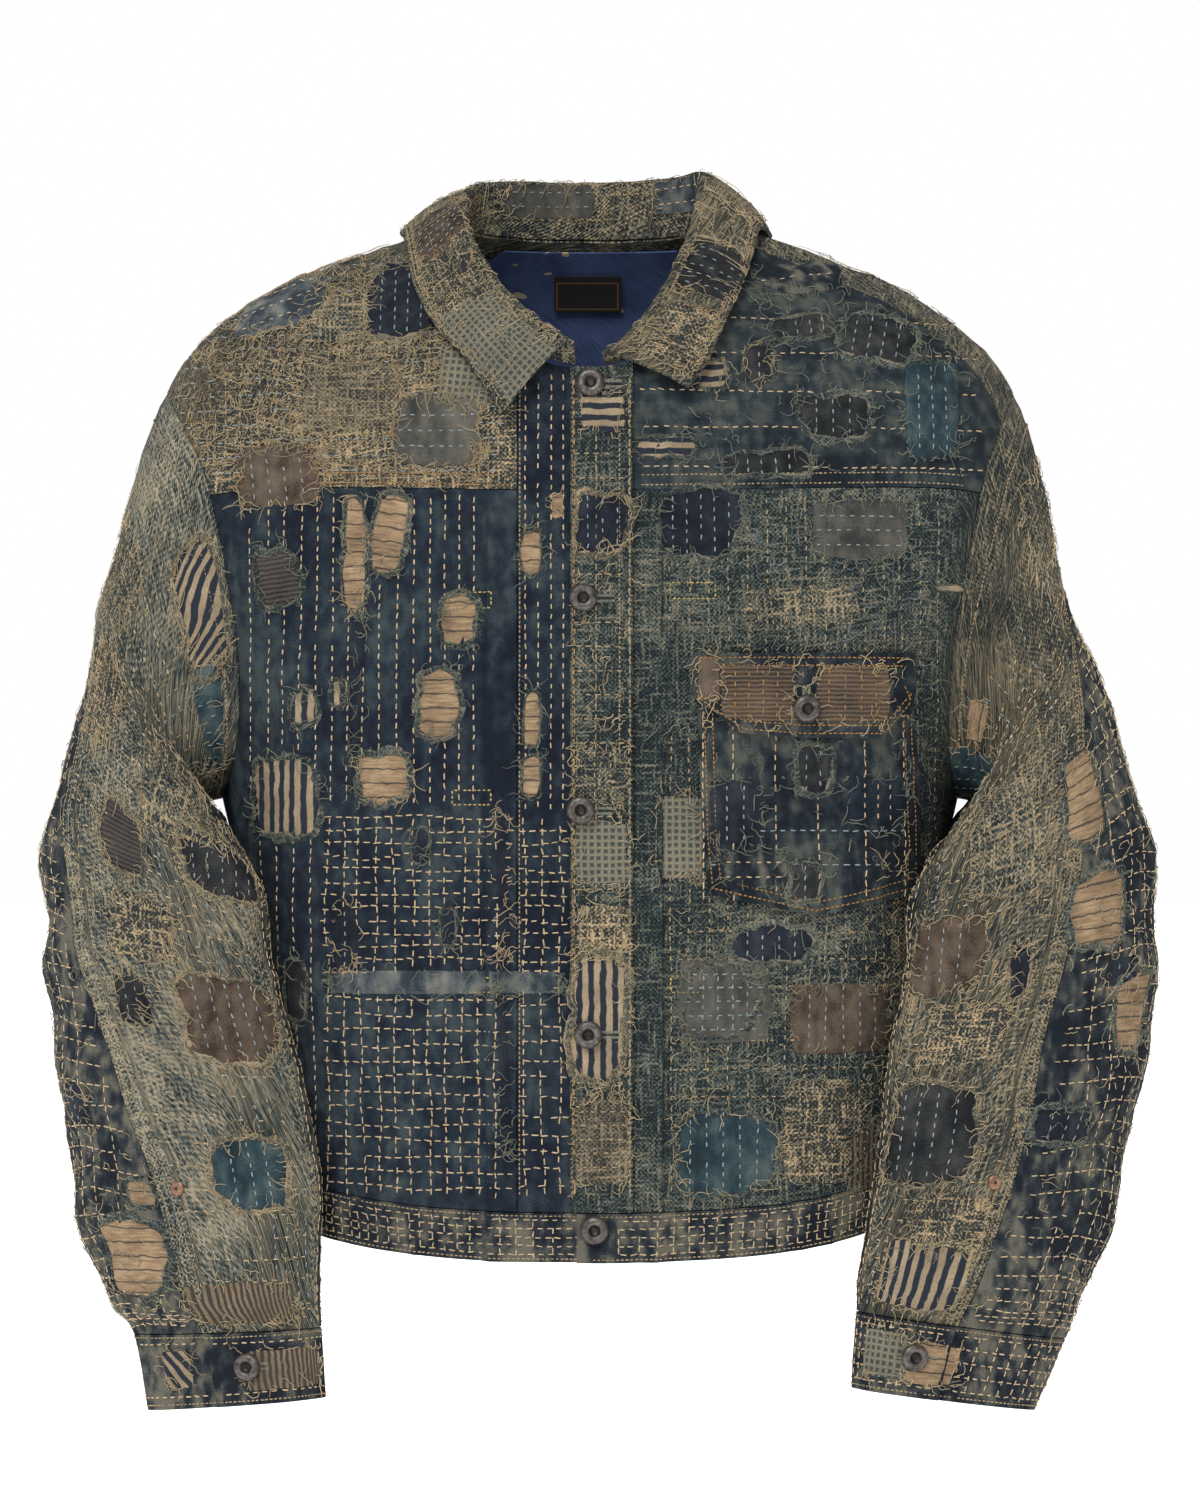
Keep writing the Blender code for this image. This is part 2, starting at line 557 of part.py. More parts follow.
def front_yoke(side):
    """From the yoke seam up to the shoulder seam and the neck."""
    turns = armhole_turns(YOKE_ANGLE, SHOULDER_ANGLE)
    right = stack(*armhole(side, turns))
    neck_angle = math.radians(NECK_SEAM_ANGLE) * math.copysign(1, FRONT_EDGE_X[side])
    neckline = spread((1, angle_at(1.0, FRONT_EDGE_X[side])), (1, neck_angle), 6)
    shoulder = spread((1, neck_angle), right[-1], 6)[1:]
    top = np.concatenate([neckline, shoulder])
    left_v = np.linspace(FRONT_YOKE_V, 1, len(turns))
    left = stack(left_v, angle_at(left_v, FRONT_EDGE_X[side]))
    bottom = spread(left[0], right[0], len(top))
    bottom[:, 0] = yoke_line(FRONT_YOKE_V, right[0, 0], np.linspace(0, 1, len(top)))
    spots = between(bottom, top, left, right)
    edge = np.s_[:, -1]
    finish_name = "faded_indigo" if side == "L" else "khaki_weave"
    return torso_panel(
        f"front_yoke_{side}", spots, finish_name, mitres=[(edge, armhole_mitre(side, turns))]
    )


def placket(side):
    """The button band (right) or the buttonhole band (left), from the waistband to the neck."""
    low_x, high_x = PLACKET_LEFT_X if side == "L" else PLACKET_RIGHT_X
    lift = LAP if side == "L" else 0.0
    v = np.linspace(BAND_TOP_V, 0.995, 17)
    xs = (low_x, (low_x + high_x) / 2, high_x)
    spots = np.stack([stack(v, angle_at(v, x)) for x in xs], axis=1)
    finish_name = "khaki_weave" if side == "L" else "indigo"
    return torso_panel(f"placket_{side}", spots, finish_name, lift=lift, gaps="btl" if side == "R" else "bt")


def waistband_front(side):
    """A band below the front; the left end laps over the right one."""
    ends = (-0.0080, 1) if side == "L" else (-1, 0.0180)
    v = np.array([0.0, BAND_TOP_V / 2, BAND_TOP_V])
    if side == "L":
        first, last = angle_at(v, ends[0]), np.full(3, math.pi / 2)
    else:
        first, last = np.full(3, -math.pi / 2), angle_at(v, ends[1])
    share = np.linspace(0, 1, 13)
    spots = stack(v[:, None], first[:, None] + (last - first)[:, None] * share)
    x = torso(spots[..., 0], spots[..., 1])[..., 0]
    lift = (LAP + BAND_CLOTH - CLOTH) * np.clip((0.060 - x) / 0.03, 0, 1) * (side == "L")
    gaps = "tr" if side == "L" else "tl"
    name = f"waistband_{side}"
    return torso_panel(name, spots, "cross_stitched", lift=lift, thickness=BAND_CLOTH, gaps=gaps)


def waistband_back():
    v = np.array([0.0, BAND_TOP_V / 2, BAND_TOP_V])
    spots = stack(v[:, None], np.linspace(math.pi / 2, 3 * math.pi / 2, 19)[None, :])
    return torso_panel("waistband_back", spots, "cross_stitched", thickness=BAND_CLOTH, gaps="tlr")


def back_body():
    """From the waistband to the yoke, side seam to side seam."""
    turns = armhole_turns(-180, -YOKE_ANGLE)
    side_v = np.linspace(BAND_TOP_V, UNDERARM_V, 6)[:-1]
    share = np.linspace(-1, 1, 21)[None, :]
    rise = np.linspace(0, 1, len(side_v) + len(turns))[:, None]
    arm_v, arm_angle = armhole("L", turns)
    outer_v = np.concatenate([side_v, arm_v])[:, None]
    drawn_in = np.concatenate([np.zeros(len(side_v)), arm_angle - math.pi / 2])[:, None]
    ease = np.abs(share) ** EDGE_EASE
    angles = math.pi + share * math.pi / 2 - drawn_in * ease * np.sign(share)
    seam_share = (angles[-1] - math.pi) / (angles[-1, -1] - math.pi)
    v = BAND_TOP_V + (yoke_line(BACK_YOKE_V, arm_v[-1], seam_share) - BAND_TOP_V) * rise
    spots = stack(v + (outer_v - v[:, -1:]) * ease, angles)
    mitres = [(np.s_[5:, 0], armhole_mitre("L", turns)), (np.s_[5:, -1], armhole_mitre("R", turns))]
    return torso_panel("back_body", spots, "faded_indigo", mitres=mitres)


def back_yoke():
    """Across the shoulders, from the seam on the back over the top to the shoulder seams in front."""
    turns = armhole_turns(-YOKE_ANGLE, SHOULDER_ANGLE)
    left, right = (stack(*armhole(side, turns)) for side in "LR")
    right[:, 1] += 2 * math.pi
    neck = math.radians(NECK_SEAM_ANGLE)
    start = spread(left[-1], (1, neck), 6)
    neckline = spread((1, neck), (1, 2 * math.pi - neck), 13)
    top = np.concatenate([start, neckline[1:], spread((1, 2 * math.pi - neck), right[-1], 6)[1:]])
    bottom = spread(left[0], right[0], len(top))
    bottom[:, 0] = yoke_line(BACK_YOKE_V, left[0, 0], np.linspace(-1, 1, len(top)))
    spots = between(bottom, top, left, right)
    mitres = [(np.s_[:, 0], armhole_mitre("L", turns)), (np.s_[:, -1], armhole_mitre("R", turns))]
    return torso_panel("back_yoke", spots, "khaki_weave", mitres=mitres)


def sleeve_panel(side, piece):
    """The upper piece runs from the seam over the front to the inner edge, down to a joining seam at
    the elbow, and the fore piece goes on from there; the under and the lower piece lie behind them,
    from the seam round the outer edge and the back."""
    above = (0, 0.4, 0.85, 1.35, 1.9, 2.5, 3.15, 3.8, 4.4)
    rings = np.array([*above, ELBOW_RING, 5.7, 6.4, 7.2, 8.1, CUFF_TOP_RING])
    elbow = len(above)
    rings = rings[: elbow + 1] if piece in ("upper", "under") else rings[elbow:]
    in_front = piece in ("upper", "fore")
    seam = along(rings, SLEEVE_SEAM[side]["ring"], SLEEVE_SEAM[side]["angle"])[:, None]
    end = 180.0 if in_front else -180.0
    turns = armhole_turns(SLEEVE_SEAM_START, end)
    share = (turns - SLEEVE_SEAM_START) / (end - SLEEVE_SEAM_START)
    grid_turns = seam + (end - seam) * share[None, :]
    points, normals = sleeve_skin(side, rings[:, None], grid_turns)
    if rings[0] == 0:
        normals[0] = armhole_mitre(side, turns)
    finish_name = "khaki_weave" if in_front else "cross_stitched"
    return wall(f"sleeve_{piece}_{side}", (points, normals), finish_name, wide="r")


def cuff_lift(turn, end):
    """The lapping end stands in front of the other by LAP, and sinks back within a quarter turn."""
    past_end = turn - end
    return (LAP + BAND_CLOTH - CLOTH) * np.clip((70 - past_end) / 30, 0, 1)


def cuff(side):
    """A band round the end of the sleeve, which laps over itself at the button."""
    end = CUFF_END_ANGLE[side]
    turns = np.linspace(end, end + 360 + CUFF_LAP, 31)
    rings = np.array([CUFF_TOP_RING, (CUFF_TOP_RING + CUFF_END_RING) / 2, CUFF_END_RING])
    points, normals = sleeve_skin(side, rings[:, None], turns[None, :], cuff_lift(turns, end)[None, :])
    return wall(f"cuff_{side}", (points, normals), "cross_stitched", thickness=BAND_CLOTH, gaps="b")


def collar():
    """One wall that rises from the neck seam, rolls over and falls onto the shoulders and chest."""
    rows = COLLAR["seam_angle"]
    columns = np.linspace(0, len(rows) - 1, COLLAR_COLUMNS + 1)
    knots = np.arange(len(rows), dtype=float)
    seam_angle, roll_x, roll_y, roll_z, edge_v, edge_angle = (
        along(columns, knots, COLLAR[name]) for name in COLLAR
    )
    seam_angle, edge_angle = np.radians(seam_angle), np.radians(edge_angle)
    seam = torso(np.full_like(columns, 1.0), seam_angle)
    rise = unit(seam - torso(np.full_like(columns, 0.995), seam_angle))
    seam = seam + rise * 0.0012
    roll = np.stack([roll_x, roll_y, roll_z], axis=-1)
    edge, edge_normal = skin(edge_v, edge_angle, COLLAR_EDGE_LIFT)
    away = unit((edge - roll) * np.array([1, 1, 0.25]))
    over = roll + away * COLLAR_ROLL_WIDTH
    crest = (roll + over) / 2 + np.array([0, 0, 0.0022])
    fall_out = unit(edge_normal + away * 0.5)
    falls = []
    for f in (0.0, 0.3, 0.65, 1.0):
        point = over + (edge - over) * f + fall_out * COLLAR_BULGE * 4 * f * (1 - f)
        under, normal = skin(1 + (edge_v - 1) * f, seam_angle + (edge_angle - seam_angle) * f)
        height = ((point - under) * normal).sum(axis=-1, keepdims=True)
        falls.append(point + normal * np.maximum(COLLAR_EDGE_LIFT - height, 0))
    points = np.stack([seam, (seam + roll) / 2, roll, crest, *falls])
    down, across = np.gradient(points, axis=0), np.gradient(points, axis=1)
    normals = unit(np.cross(across, down))
    return wall("collar", (points[::-1], -normals[::-1]), "khaki_weave", thickness=BAND_CLOTH, gaps="")


def pocket():
    """The patch pocket, with its bottom drawn down to a point in the middle."""
    z_rows = np.linspace(POCKET["z"][0], POCKET["z"][-1], 8)[::-1]
    knots = POCKET["z"][::-1]
    left, right = (along(z_rows, knots, POCKET[name][::-1]) for name in ("x_left", "x_right"))
    share = np.linspace(0, 1, 8)
    x = left[:, None] + (right - left)[:, None] * share
    low = np.clip(1 - np.arange(8) / 7 * 2.5, 0, 1)[:, None]
    z = z_rows[:, None] - low * POCKET_POINT_DROP * (1 - np.abs(2 * share - 1))
    return torso_panel("pocket_L", stack(*front_spot(x, z)), "indigo", lift=POCKET_LIFT, gaps="")


def pocket_flap():
    columns = np.linspace(FLAP["x"][0], FLAP["x"][-1], 10)
    top, bottom = (np.interp(columns, FLAP["x"], FLAP[name]) for name in ("z_top", "z_bottom"))
    z = bottom + (top - bottom) * np.linspace(0, 1, 4)[:, None]
    spots = stack(*front_spot(np.broadcast_to(columns, z.shape), z))
    return torso_panel("pocket_flap_L", spots, "khaki_weave", lift=FLAP_LIFT, gaps="")


def yoke_lining():
    """The printed lining, built only across the back of the neck, where it shows."""
    v = np.linspace(*LINING_V, 8)[:, None]
    angles = np.radians(np.linspace(*LINING_ANGLES, 13))[None, :]
    depth = CLOTH + LINING_GAP
    options = {"thickness": LINING_CLOTH, "gaps": "", "folded": False}
    return torso_panel("yoke_lining", stack(v, angles), "lining_blue", lift=-depth, **options)


def neck_label():
    """A blank woven label sewn to the lining."""
    x = np.linspace(*LABEL_X[::-1], 4)[None, :]
    z = np.linspace(*LABEL_Z, 3)[:, None]
    v, angle = back_spot(x, z)
    depth = CLOTH + LINING_GAP + LINING_CLOTH + LABEL_GAP
    options = {"thickness": LABEL_CLOTH, "gaps": "", "folded": False}
    return torso_panel("neck_label", stack(v, angle), "label_black", lift=-depth, **options)


def back_spot(x, z):
    """(v, angle) of the point of the torso's back that is at x and z."""
    x, z = np.broadcast_arrays(np.asarray(x, float), np.asarray(z, float))
    low, high = np.zeros_like(x), np.ones_like(x)
    for _ in range(40):
        v = (low + high) / 2
        under = torso(v, math.pi - angle_at(v, x))[..., 2] < z
        low, high = np.where(under, v, low), np.where(under, high, v)
    return v, math.pi - angle_at(v, x)


BUTTON_PROFILE = (
    (0.0, 0.0014), (0.0026, 0.0014), (0.0034, 0.0036), (0.0058, 0.0044),
    (0.0080, 0.0034), (BUTTON_RADIUS, 0.0018), (0.0080, 0.0), (0.0, 0.0),
)
RIVET_PROFILE = ((0.0, 0.0016), (0.0024, 0.0013), (0.0046, 0.0006), (0.0046, 0.0), (0.0, 0.0))
BUTTON_STEPS, RIVET_STEPS, CLEAR = 14, 10, 0.0007


def buttons_and_rivets():
    """Tack buttons down the front, on the pocket and the cuffs, and a rivet at each sleeve vent."""
    for number, (x, z) in enumerate(zip(BUTTON_XS, BUTTON_ZS), start=1):
        lift = LAP + CLEAR + (BAND_CLOTH - CLOTH) * (number == len(BUTTON_ZS))
        point, normal = skin(*front_spot(x, z), lift)
        turned(f"button_{number}", BUTTON_PROFILE, BUTTON_STEPS, "dark_metal", point, normal)
    point, normal = skin(*front_spot(*POCKET_BUTTON), FLAP_LIFT + CLEAR)
    turned("pocket_button_L", BUTTON_PROFILE, BUTTON_STEPS, "dark_metal", point, normal)
    for side in "LR":
        end = CUFF_END_ANGLE[side]
        middle = (CUFF_TOP_RING + CUFF_END_RING) / 2
        lift = cuff_lift(end, end) + CLEAR
        point, normal = sleeve_skin(side, middle, end + CUFF_BUTTON_TURN, lift)
        turned(f"cuff_button_{side}", BUTTON_PROFILE, BUTTON_STEPS, "dark_metal", point, normal)
        seam = along(7.0, SLEEVE_SEAM[side]["ring"], SLEEVE_SEAM[side]["angle"])
        point, normal = sleeve_skin(side, 7.0, seam + 8, CLEAR)
        turned(f"vent_rivet_{side}", RIVET_PROFILE, RIVET_STEPS, "copper", point, normal)


def main():
    clear_scene()
    bpy.context.scene.collection.children.link(bpy.data.collections.new("boro_jacket"))
    for side in "LR":
        front_body(side)
        front_yoke(side)
        placket(side)
        waistband_front(side)
        for piece in ("upper", "fore", "under", "lower"):
            sleeve_panel(side, piece)
        cuff(side)
    waistband_back()
    back_body()
    back_yoke()
    collar()
    pocket()
    pocket_flap()
    yoke_lining()
    neck_label()
    buttons_and_rivets()


main()
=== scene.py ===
# %% [markdown]
# # A patched boro work jacket
# Boro is cloth mended for years: rags sewn over holes with rows of running stitch. This lesson dresses
# a plain solid of such a jacket, buttoned up and filled out with nobody inside. Metres, +Z up, the
# front faces -Y, the wearer's left is +X, and the origin is the back of the neck. The solid is loaded
# first and never changed: it says where every piece has to be.

# %% The fixed frame
import itertools
import math

import bpy
import numpy as np
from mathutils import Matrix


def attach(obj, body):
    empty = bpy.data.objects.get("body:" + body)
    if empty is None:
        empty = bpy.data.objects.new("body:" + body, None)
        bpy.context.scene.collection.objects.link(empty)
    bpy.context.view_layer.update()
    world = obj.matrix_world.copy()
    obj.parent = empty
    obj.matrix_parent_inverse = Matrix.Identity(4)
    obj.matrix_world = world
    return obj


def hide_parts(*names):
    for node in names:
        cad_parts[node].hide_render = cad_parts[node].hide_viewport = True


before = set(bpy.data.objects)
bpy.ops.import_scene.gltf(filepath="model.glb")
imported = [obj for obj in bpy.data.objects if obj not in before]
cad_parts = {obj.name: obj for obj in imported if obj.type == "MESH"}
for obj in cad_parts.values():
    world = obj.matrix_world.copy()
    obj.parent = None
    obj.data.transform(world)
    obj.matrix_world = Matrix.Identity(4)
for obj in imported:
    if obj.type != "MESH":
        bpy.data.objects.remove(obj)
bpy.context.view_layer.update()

# %% [markdown]
# ## The camera
# The jacket is looked at straight on from a few metres away with a long lens, level with its middle
# and along +Y, so that its two sides hardly converge.

# %% Camera
lens = bpy.data.cameras.new("long_lens")
lens.lens = 126.7
lens.sensor_width = 36.0
camera = bpy.data.objects.new("camera", lens)
camera.location = (0.0064, -3.4, -0.334)
camera.rotation_euler = (math.pi / 2, 0, 0)
bpy.context.scene.collection.objects.link(camera)
bpy.context.scene.camera = camera

# %% [markdown]
# ## The jacket's two surfaces
# A tailor drapes cloth on a form. Here the form is a pair of formulas: the torso is a stack of tilted
# rounded rings, and a sleeve is a tube of ovals that leaves the armhole. The solid was made from the
# same values, so all that is sewn on them fits. Hand sculpting would give livelier folds, but nothing
# could then be placed on the cloth by numbers.

# %% Sizes shared with the solid
CLOTH = 0.002
BAND_CLOTH = 0.0024
SEAM_GAP = 0.0008
WIDE_GAP = 0.0016
LAP = 0.0028
POCKET_LIFT = 0.0036
FLAP_LIFT = 0.0074
PLACKET_LEFT_X = (-0.012, 0.0265)
PLACKET_RIGHT_X = (-0.045, 0.015)
FRONT_EDGE_X = {"L": 0.0245, "R": -0.045}
PLEAT_X = {"L": 0.045, "R": -0.064}
PLEAT_STEP = 0.003
PLEAT_RUN = 0.015
BAND_TOP_V = 0.05
EDGE_EASE = 1.8
FRONT_YOKE_V, BACK_YOKE_V = 0.818, 0.79
NECK_SEAM_ANGLE = 80.0
UNDERARM_V, ARMHOLE_TOP_V = 0.5, 0.86
ARMHOLE_MIDDLE_V, ARMHOLE_HALF_V = (ARMHOLE_TOP_V + UNDERARM_V) / 2, (ARMHOLE_TOP_V - UNDERARM_V) / 2
ARMHOLE_FRONT = {"L": 31.0, "R": 35.0}
ARMHOLE_BACK = 24.0
ARMHOLE_SQUARENESS = (2.3, 3.4)
SIDE_ROUNDING = 1.25
CUFF_TOP_RING, CUFF_END_RING = 9.0, 10.0
CUFF_END_ANGLE = {"L": 98.0, "R": 86.0}
CUFF_LAP = 34.0
CUFF_BUTTON_TURN = 19.0
SHOULDER_ANGLE, YOKE_ANGLE, SLEEVE_SEAM_START = 35, 68, -17
SIDES = ("L", "R")


def rows_of(text):
    return [line.split() for line in text.strip().splitlines()]


def table(text, parts=1):
    """Column name to an array of its rows' values, divided by parts: 1000 for millimetres."""
    columns, *rows = rows_of(text)
    return dict(zip(columns, (np.array(rows, float) / parts).T))


TORSO = table("""
v z_front z_side z_back half_width depth_front depth_back roundness
0 -652 -619 -645 207 124 118 2.7
.05 -621 -588 -614 209 126 120 2.7
.2 -530 -507 -528 214 129 126 2.6
.38 -430 -424 -432 224 131 131 2.6
.5 -360 -365 -360 236 130 133 2.6
.62 -285 -285 -270 254 127 132 2.6
.72 -225 -205 -195 268 123 127 2.6
.8 -181 -145 -140 276 119 119 2.55
.86 -153 -103 -96 272 116 109 2.5
.9 -136 -69 -68 246 114 101 2.45
.94 -119 -35 -40 196 112 91 2.35
.97 -107 -13 -19 140 110 79 2.25
1 -94 5 0 88 106 65 2.2
""", (1, 1000, 1000, 1000, 1000, 1000, 1000, 1))
SLEEVES = {
    "L": table("""
outer_x outer_y outer_z inner_x inner_y inner_z front back
302 -6 -237 244 -46 -372 56 62
319 -12 -284 223 -82 -393 50 47
335 -18 -341 211 -102 -412 48 34
349 -24 -410 203 -106 -443 46 30
352 -30 -471 198 -110 -482 44 25
348 -38 -532 187 -115 -532 40 22
332 -50 -607 179 -119 -598 34 20
309 -66 -675 170 -123 -655 26 16
298.5 -74 -704 166 -125 -682 17 13
279 -84 -748 162.5 -128 -729 13 11
""", 1000),
    "R": table("""
outer_x outer_y outer_z inner_x inner_y inner_z front back
-307 -6 -220 -248 -30 -371 58 53
-314.5 -12 -284 -222.5 -80 -395 50 47
-327.5 -18 -345 -212 -103 -414 48 34
-337 -24 -412 -204 -106 -447 46 30
-336 -30 -470 -195 -110 -485 44 25
-331 -38 -533 -180 -115 -540 40 22
-322 -50 -606 -169 -119 -607 34 20
-304 -67 -675 -169 -123 -668 26 16
-286 -74 -701 -167 -125 -692 17 13
-276.5 -84 -748 -164 -128 -735 13 11
""", 1000),
}
SLEEVE_SEAM = table("""
ring L R
0 -17 -17
1 30 5
2 62 32
3 78 48
4 86 60
5 91 66
7 93 84
9 96 84
""")
FOLDS = table("""
face x_top z_top x_bottom z_bottom half_width height
-1 -124 -200 -150 -560 22 6
-1 -178 -230 -180 -520 17 4.5
-1 172 -200 164 -560 19 4.5
1 -105 -180 -125 -590 24 6.5
1 110 -180 120 -590 24 6.5
1 12 -330 -6 -600 28 4.5
""", (1, 1000, 1000, 1000, 1000, 1000, 1000))
FOLD_FADE = 0.05
SLEEVE_FOLDS = table("""
ring angle half_ring half_angle lean height
1.5 125 .35 50 .5 .005
2.6 120 .35 55 .5 .006
3.9 20 .4 50 -.5 .007
5 30 .35 50 -.4 .006
6.2 60 .35 60 .4 .005
7.4 20 .3 60 -.3 .005
4.2 -110 .45 60 .4 .005
6 -60 .4 60 -.4 .005
""")
COLLAR = table("""
seam_angle roll_x roll_y roll_z edge_v edge_angle
-5 -10 -113 -80 .92 -10.3
-17 -25 -107 -70.5 .95 -17.7
-32 -43 -92 -55.5 .969 -31
-50 -58.5 -66 -36.5 .975 -45.6
-70 -72 -35 -13 .979 -60
-90 -79 2 11 .982 -74
-110 -75 32 30 .982 -92
-130 -62 50 35 .977 -116
-155 -35 64 36.5 .972 -148
-180 0 69 37 .972 -180
-203 35 64 38 .972 -210
-225 62 51 39.5 .976 -238
-245 73.5 33 39 .984 -260
-265 69 8 28 .989 -277.5
-285 66 -22 8 .989 -287
-305 57.5 -58 -19 .988 -299.5
-322 46 -86 -43.5 .985 -311.5
-336 31 -101 -66.5 .978 -323.5
-346 19 -108 -79.5 .962 -336.5
-355 8.5 -112.5 -87 .949 -343.5
""", (1, 1000, 1000, 1000, 1, 1))
print("the torso has", len(TORSO["v"]), "rings, a sleeve", len(SLEEVES["L"]["front"]))

# %% [markdown]
# ## Rumples
# Washed and mended cloth is never flat. Sculpting its puckers would take days, and a picture of bumps
# would vanish at the edges, so the cloth is really moved, by a smooth noise that every piece reads at
# its own place in space. A patch and the cloth under it rumple together and never cut through.

# %% Curves, noise and rumples
def along(t, knots, values, slopes=None):
    """Smooth curve through the values at the knots: cubics that share their slopes."""
    t = np.asarray(t, float)
    slopes = np.gradient(values, knots, axis=0) if slopes is None else slopes
    i = np.clip(np.searchsorted(knots, t, side="right") - 1, 0, len(knots) - 2)
    step = knots[i + 1] - knots[i]
    f = (t - knots[i]) / step
    if values.ndim > 1:
        step, f = step[..., None], f[..., None]
    ends = values[i] * (1 + 2 * f) * (1 - f) ** 2 + values[i + 1] * f * f * (3 - 2 * f)
    return ends + step * (slopes[i] * f * (1 - f) ** 2 - slopes[i + 1] * f * f * (1 - f))


def power(value, exponent):
    """The size to a power, its sign kept: it squares off an oval."""
    return np.sign(value) * np.abs(value) ** exponent


def stack(*parts):
    return np.stack(np.broadcast_arrays(*parts), axis=-1)


def norm(vectors, keep=False):
    return np.linalg.norm(vectors, axis=-1, keepdims=keep)


def unit(vectors):
    return vectors / np.maximum(norm(vectors, True), 1e-12)


HEIGHTS = np.random.default_rng(11).uniform(-1, 1, (32, 32, 32))


def rumple(points, size, seed=0):
    """Noise from -1 to 1: random heights on a lattice of this size, eased between its corners."""
    spot = np.asarray(points) / size + seed * 7.31
    cell = np.floor(spot).astype(int)
    f = spot - cell
    f = f * f * (3 - 2 * f)
    total = np.zeros(spot.shape[:-1])
    for corner in itertools.product((0, 1), repeat=3):
        x, y, z = np.moveaxis((cell + corner) % 32, -1, 0)
        total += HEIGHTS[x, y, z] * np.prod(np.where(corner, f, 1 - f), axis=-1)
    return total


def creases(points, coarse=0.0014, middle=0.0015, fine=0.0008):
    """How far the cloth stands out: lumps, narrow ridges where the noise crosses nought, puckers."""
    stretched = points * np.array([1.0, 1.0, 0.55])
    ridge = 1 - np.abs(rumple(stretched, 0.026, 2)) * 2.2
    lumps = coarse * rumple(points, 0.05, 1)
    return lumps + middle * np.clip(ridge, 0, 1) ** 2 + fine * rumple(points, 0.0095, 3)


# %% The torso
RING_SIZES = np.stack(list(TORSO.values())[1:], axis=-1)
RING_SLOPES = np.gradient(RING_SIZES, TORSO["v"], axis=0)


def ring_sizes(v):
    """The table's columns at height v, from z_front to roundness."""
    return np.moveaxis(along(v, TORSO["v"], RING_SIZES, RING_SLOPES), -1, 0)


def torso(v, angle):
    """Point at height v (0 the hem, 1 the neck) and angle (radians from the front, + to the wearer's
    left): a squared-off oval whose height eases from the side to the front and back."""
    z_front, z_side, z_back, width, front, back, roundness = ring_sizes(v)
    c, s = np.cos(angle), np.sin(angle)
    ahead = c > 0
    x = width * power(s, 2 / roundness)
    y = -np.where(ahead, front, back) * power(c, 2 / roundness)
    z = z_side + (np.where(ahead, z_front, z_back) - z_side) * np.abs(c) ** SIDE_ROUNDING
    return stack(x, y, z)


def torso_normal(v, angle):
    """Out of the torso: across its tangents, from small steps along and round it."""
    step = 1e-3
    round_it = torso(v, angle + step) - torso(v, angle - step)
    up_it = torso(v + step, angle) - torso(v - step, angle)
    return unit(np.cross(round_it, up_it))


def body_folds(points):
    """How far the cloth stands out: soft ridges, and the step of each front pleat."""
    x, y, z = points[..., 0], points[..., 1], points[..., 2]
    out = np.zeros_like(x)
    for face, x_top, z_top, x_bottom, z_bottom, half_width, height in zip(*FOLDS.values()):
        f = np.clip((z_top - z) / (z_top - z_bottom), 0, 1)
        across = (x - (x_top + (x_bottom - x_top) * f)) / half_width
        fade = np.clip((z_top - z) / FOLD_FADE, 0, 1) * np.clip((z - z_bottom) / FOLD_FADE, 0, 1)
        out += height * np.exp(-across**2) * fade * (y * face > 0)
    for pleat in PLEAT_X.values():
        inward = (pleat - x) * math.copysign(1, pleat)
        ramp = PLEAT_STEP * np.clip(1 - inward / PLEAT_RUN, 0, 1) * (inward >= 0)
        out += ramp * np.clip((-0.175 - z) / 0.01, 0, 1) * (y < 0)
    return out


def armhole_ease(v, angle):
    """0 on the seam of an armhole, 1 from a few centimetres outside it."""
    turned = (angle + math.pi) % (2 * math.pi) - math.pi
    ahead = math.pi / 2 - np.abs(turned)
    front = np.radians(np.where(turned > 0, ARMHOLE_FRONT["L"], ARMHOLE_FRONT["R"]))
    across = np.abs(ahead) / np.where(ahead > 0, front, math.radians(ARMHOLE_BACK))
    rise = (v - ARMHOLE_MIDDLE_V) / ARMHOLE_HALF_V
    exponent = np.where(rise > 0, ARMHOLE_SQUARENESS[1], ARMHOLE_SQUARENESS[0])
    out = (across**exponent + np.abs(rise) ** exponent) ** (1 / exponent)
    return np.clip((out - 1) / 0.3, 0, 1)


def skin(v, angle, lift=0.0, folded=True):
    """(points, normals) of folded and rumpled cloth on the torso, moved out by lift."""
    points, normals = torso(v, angle), torso_normal(v, angle)
    stand = (body_folds(points) + creases(points)) * armhole_ease(v, angle) * folded
    return points + normals * (lift + stand)[..., None], normals


def angle_at(v, x):
    """The angle, in front, at which the ring v is x from the middle."""
    _, _, _, width, _, _, roundness = ring_sizes(v)
    return np.arcsin(np.clip(power(x / width, roundness / 2), -1, 1))


def spot_at(x, z, behind=False):
    """(v, angle) of the front or back at x and z: v is found by halving."""
    x, z = np.broadcast_arrays(np.asarray(x, float), np.asarray(z, float))
    low, high = np.zeros_like(x), np.ones_like(x)
    for _ in range(16):
        v = (low + high) / 2
        angle = math.pi - angle_at(v, x) if behind else angle_at(v, x)
        under = torso(v, angle)[..., 2] < z
        low, high = np.where(under, v, low), np.where(under, high, v)
    return v, math.pi - angle_at(v, x) if behind else angle_at(v, x)


# %% The sleeves
def seam_turn(side, ring):
    """The turn, in degrees, at which a sleeve's two pieces meet at this ring."""
    return along(ring, SLEEVE_SEAM["ring"], SLEEVE_SEAM[side])


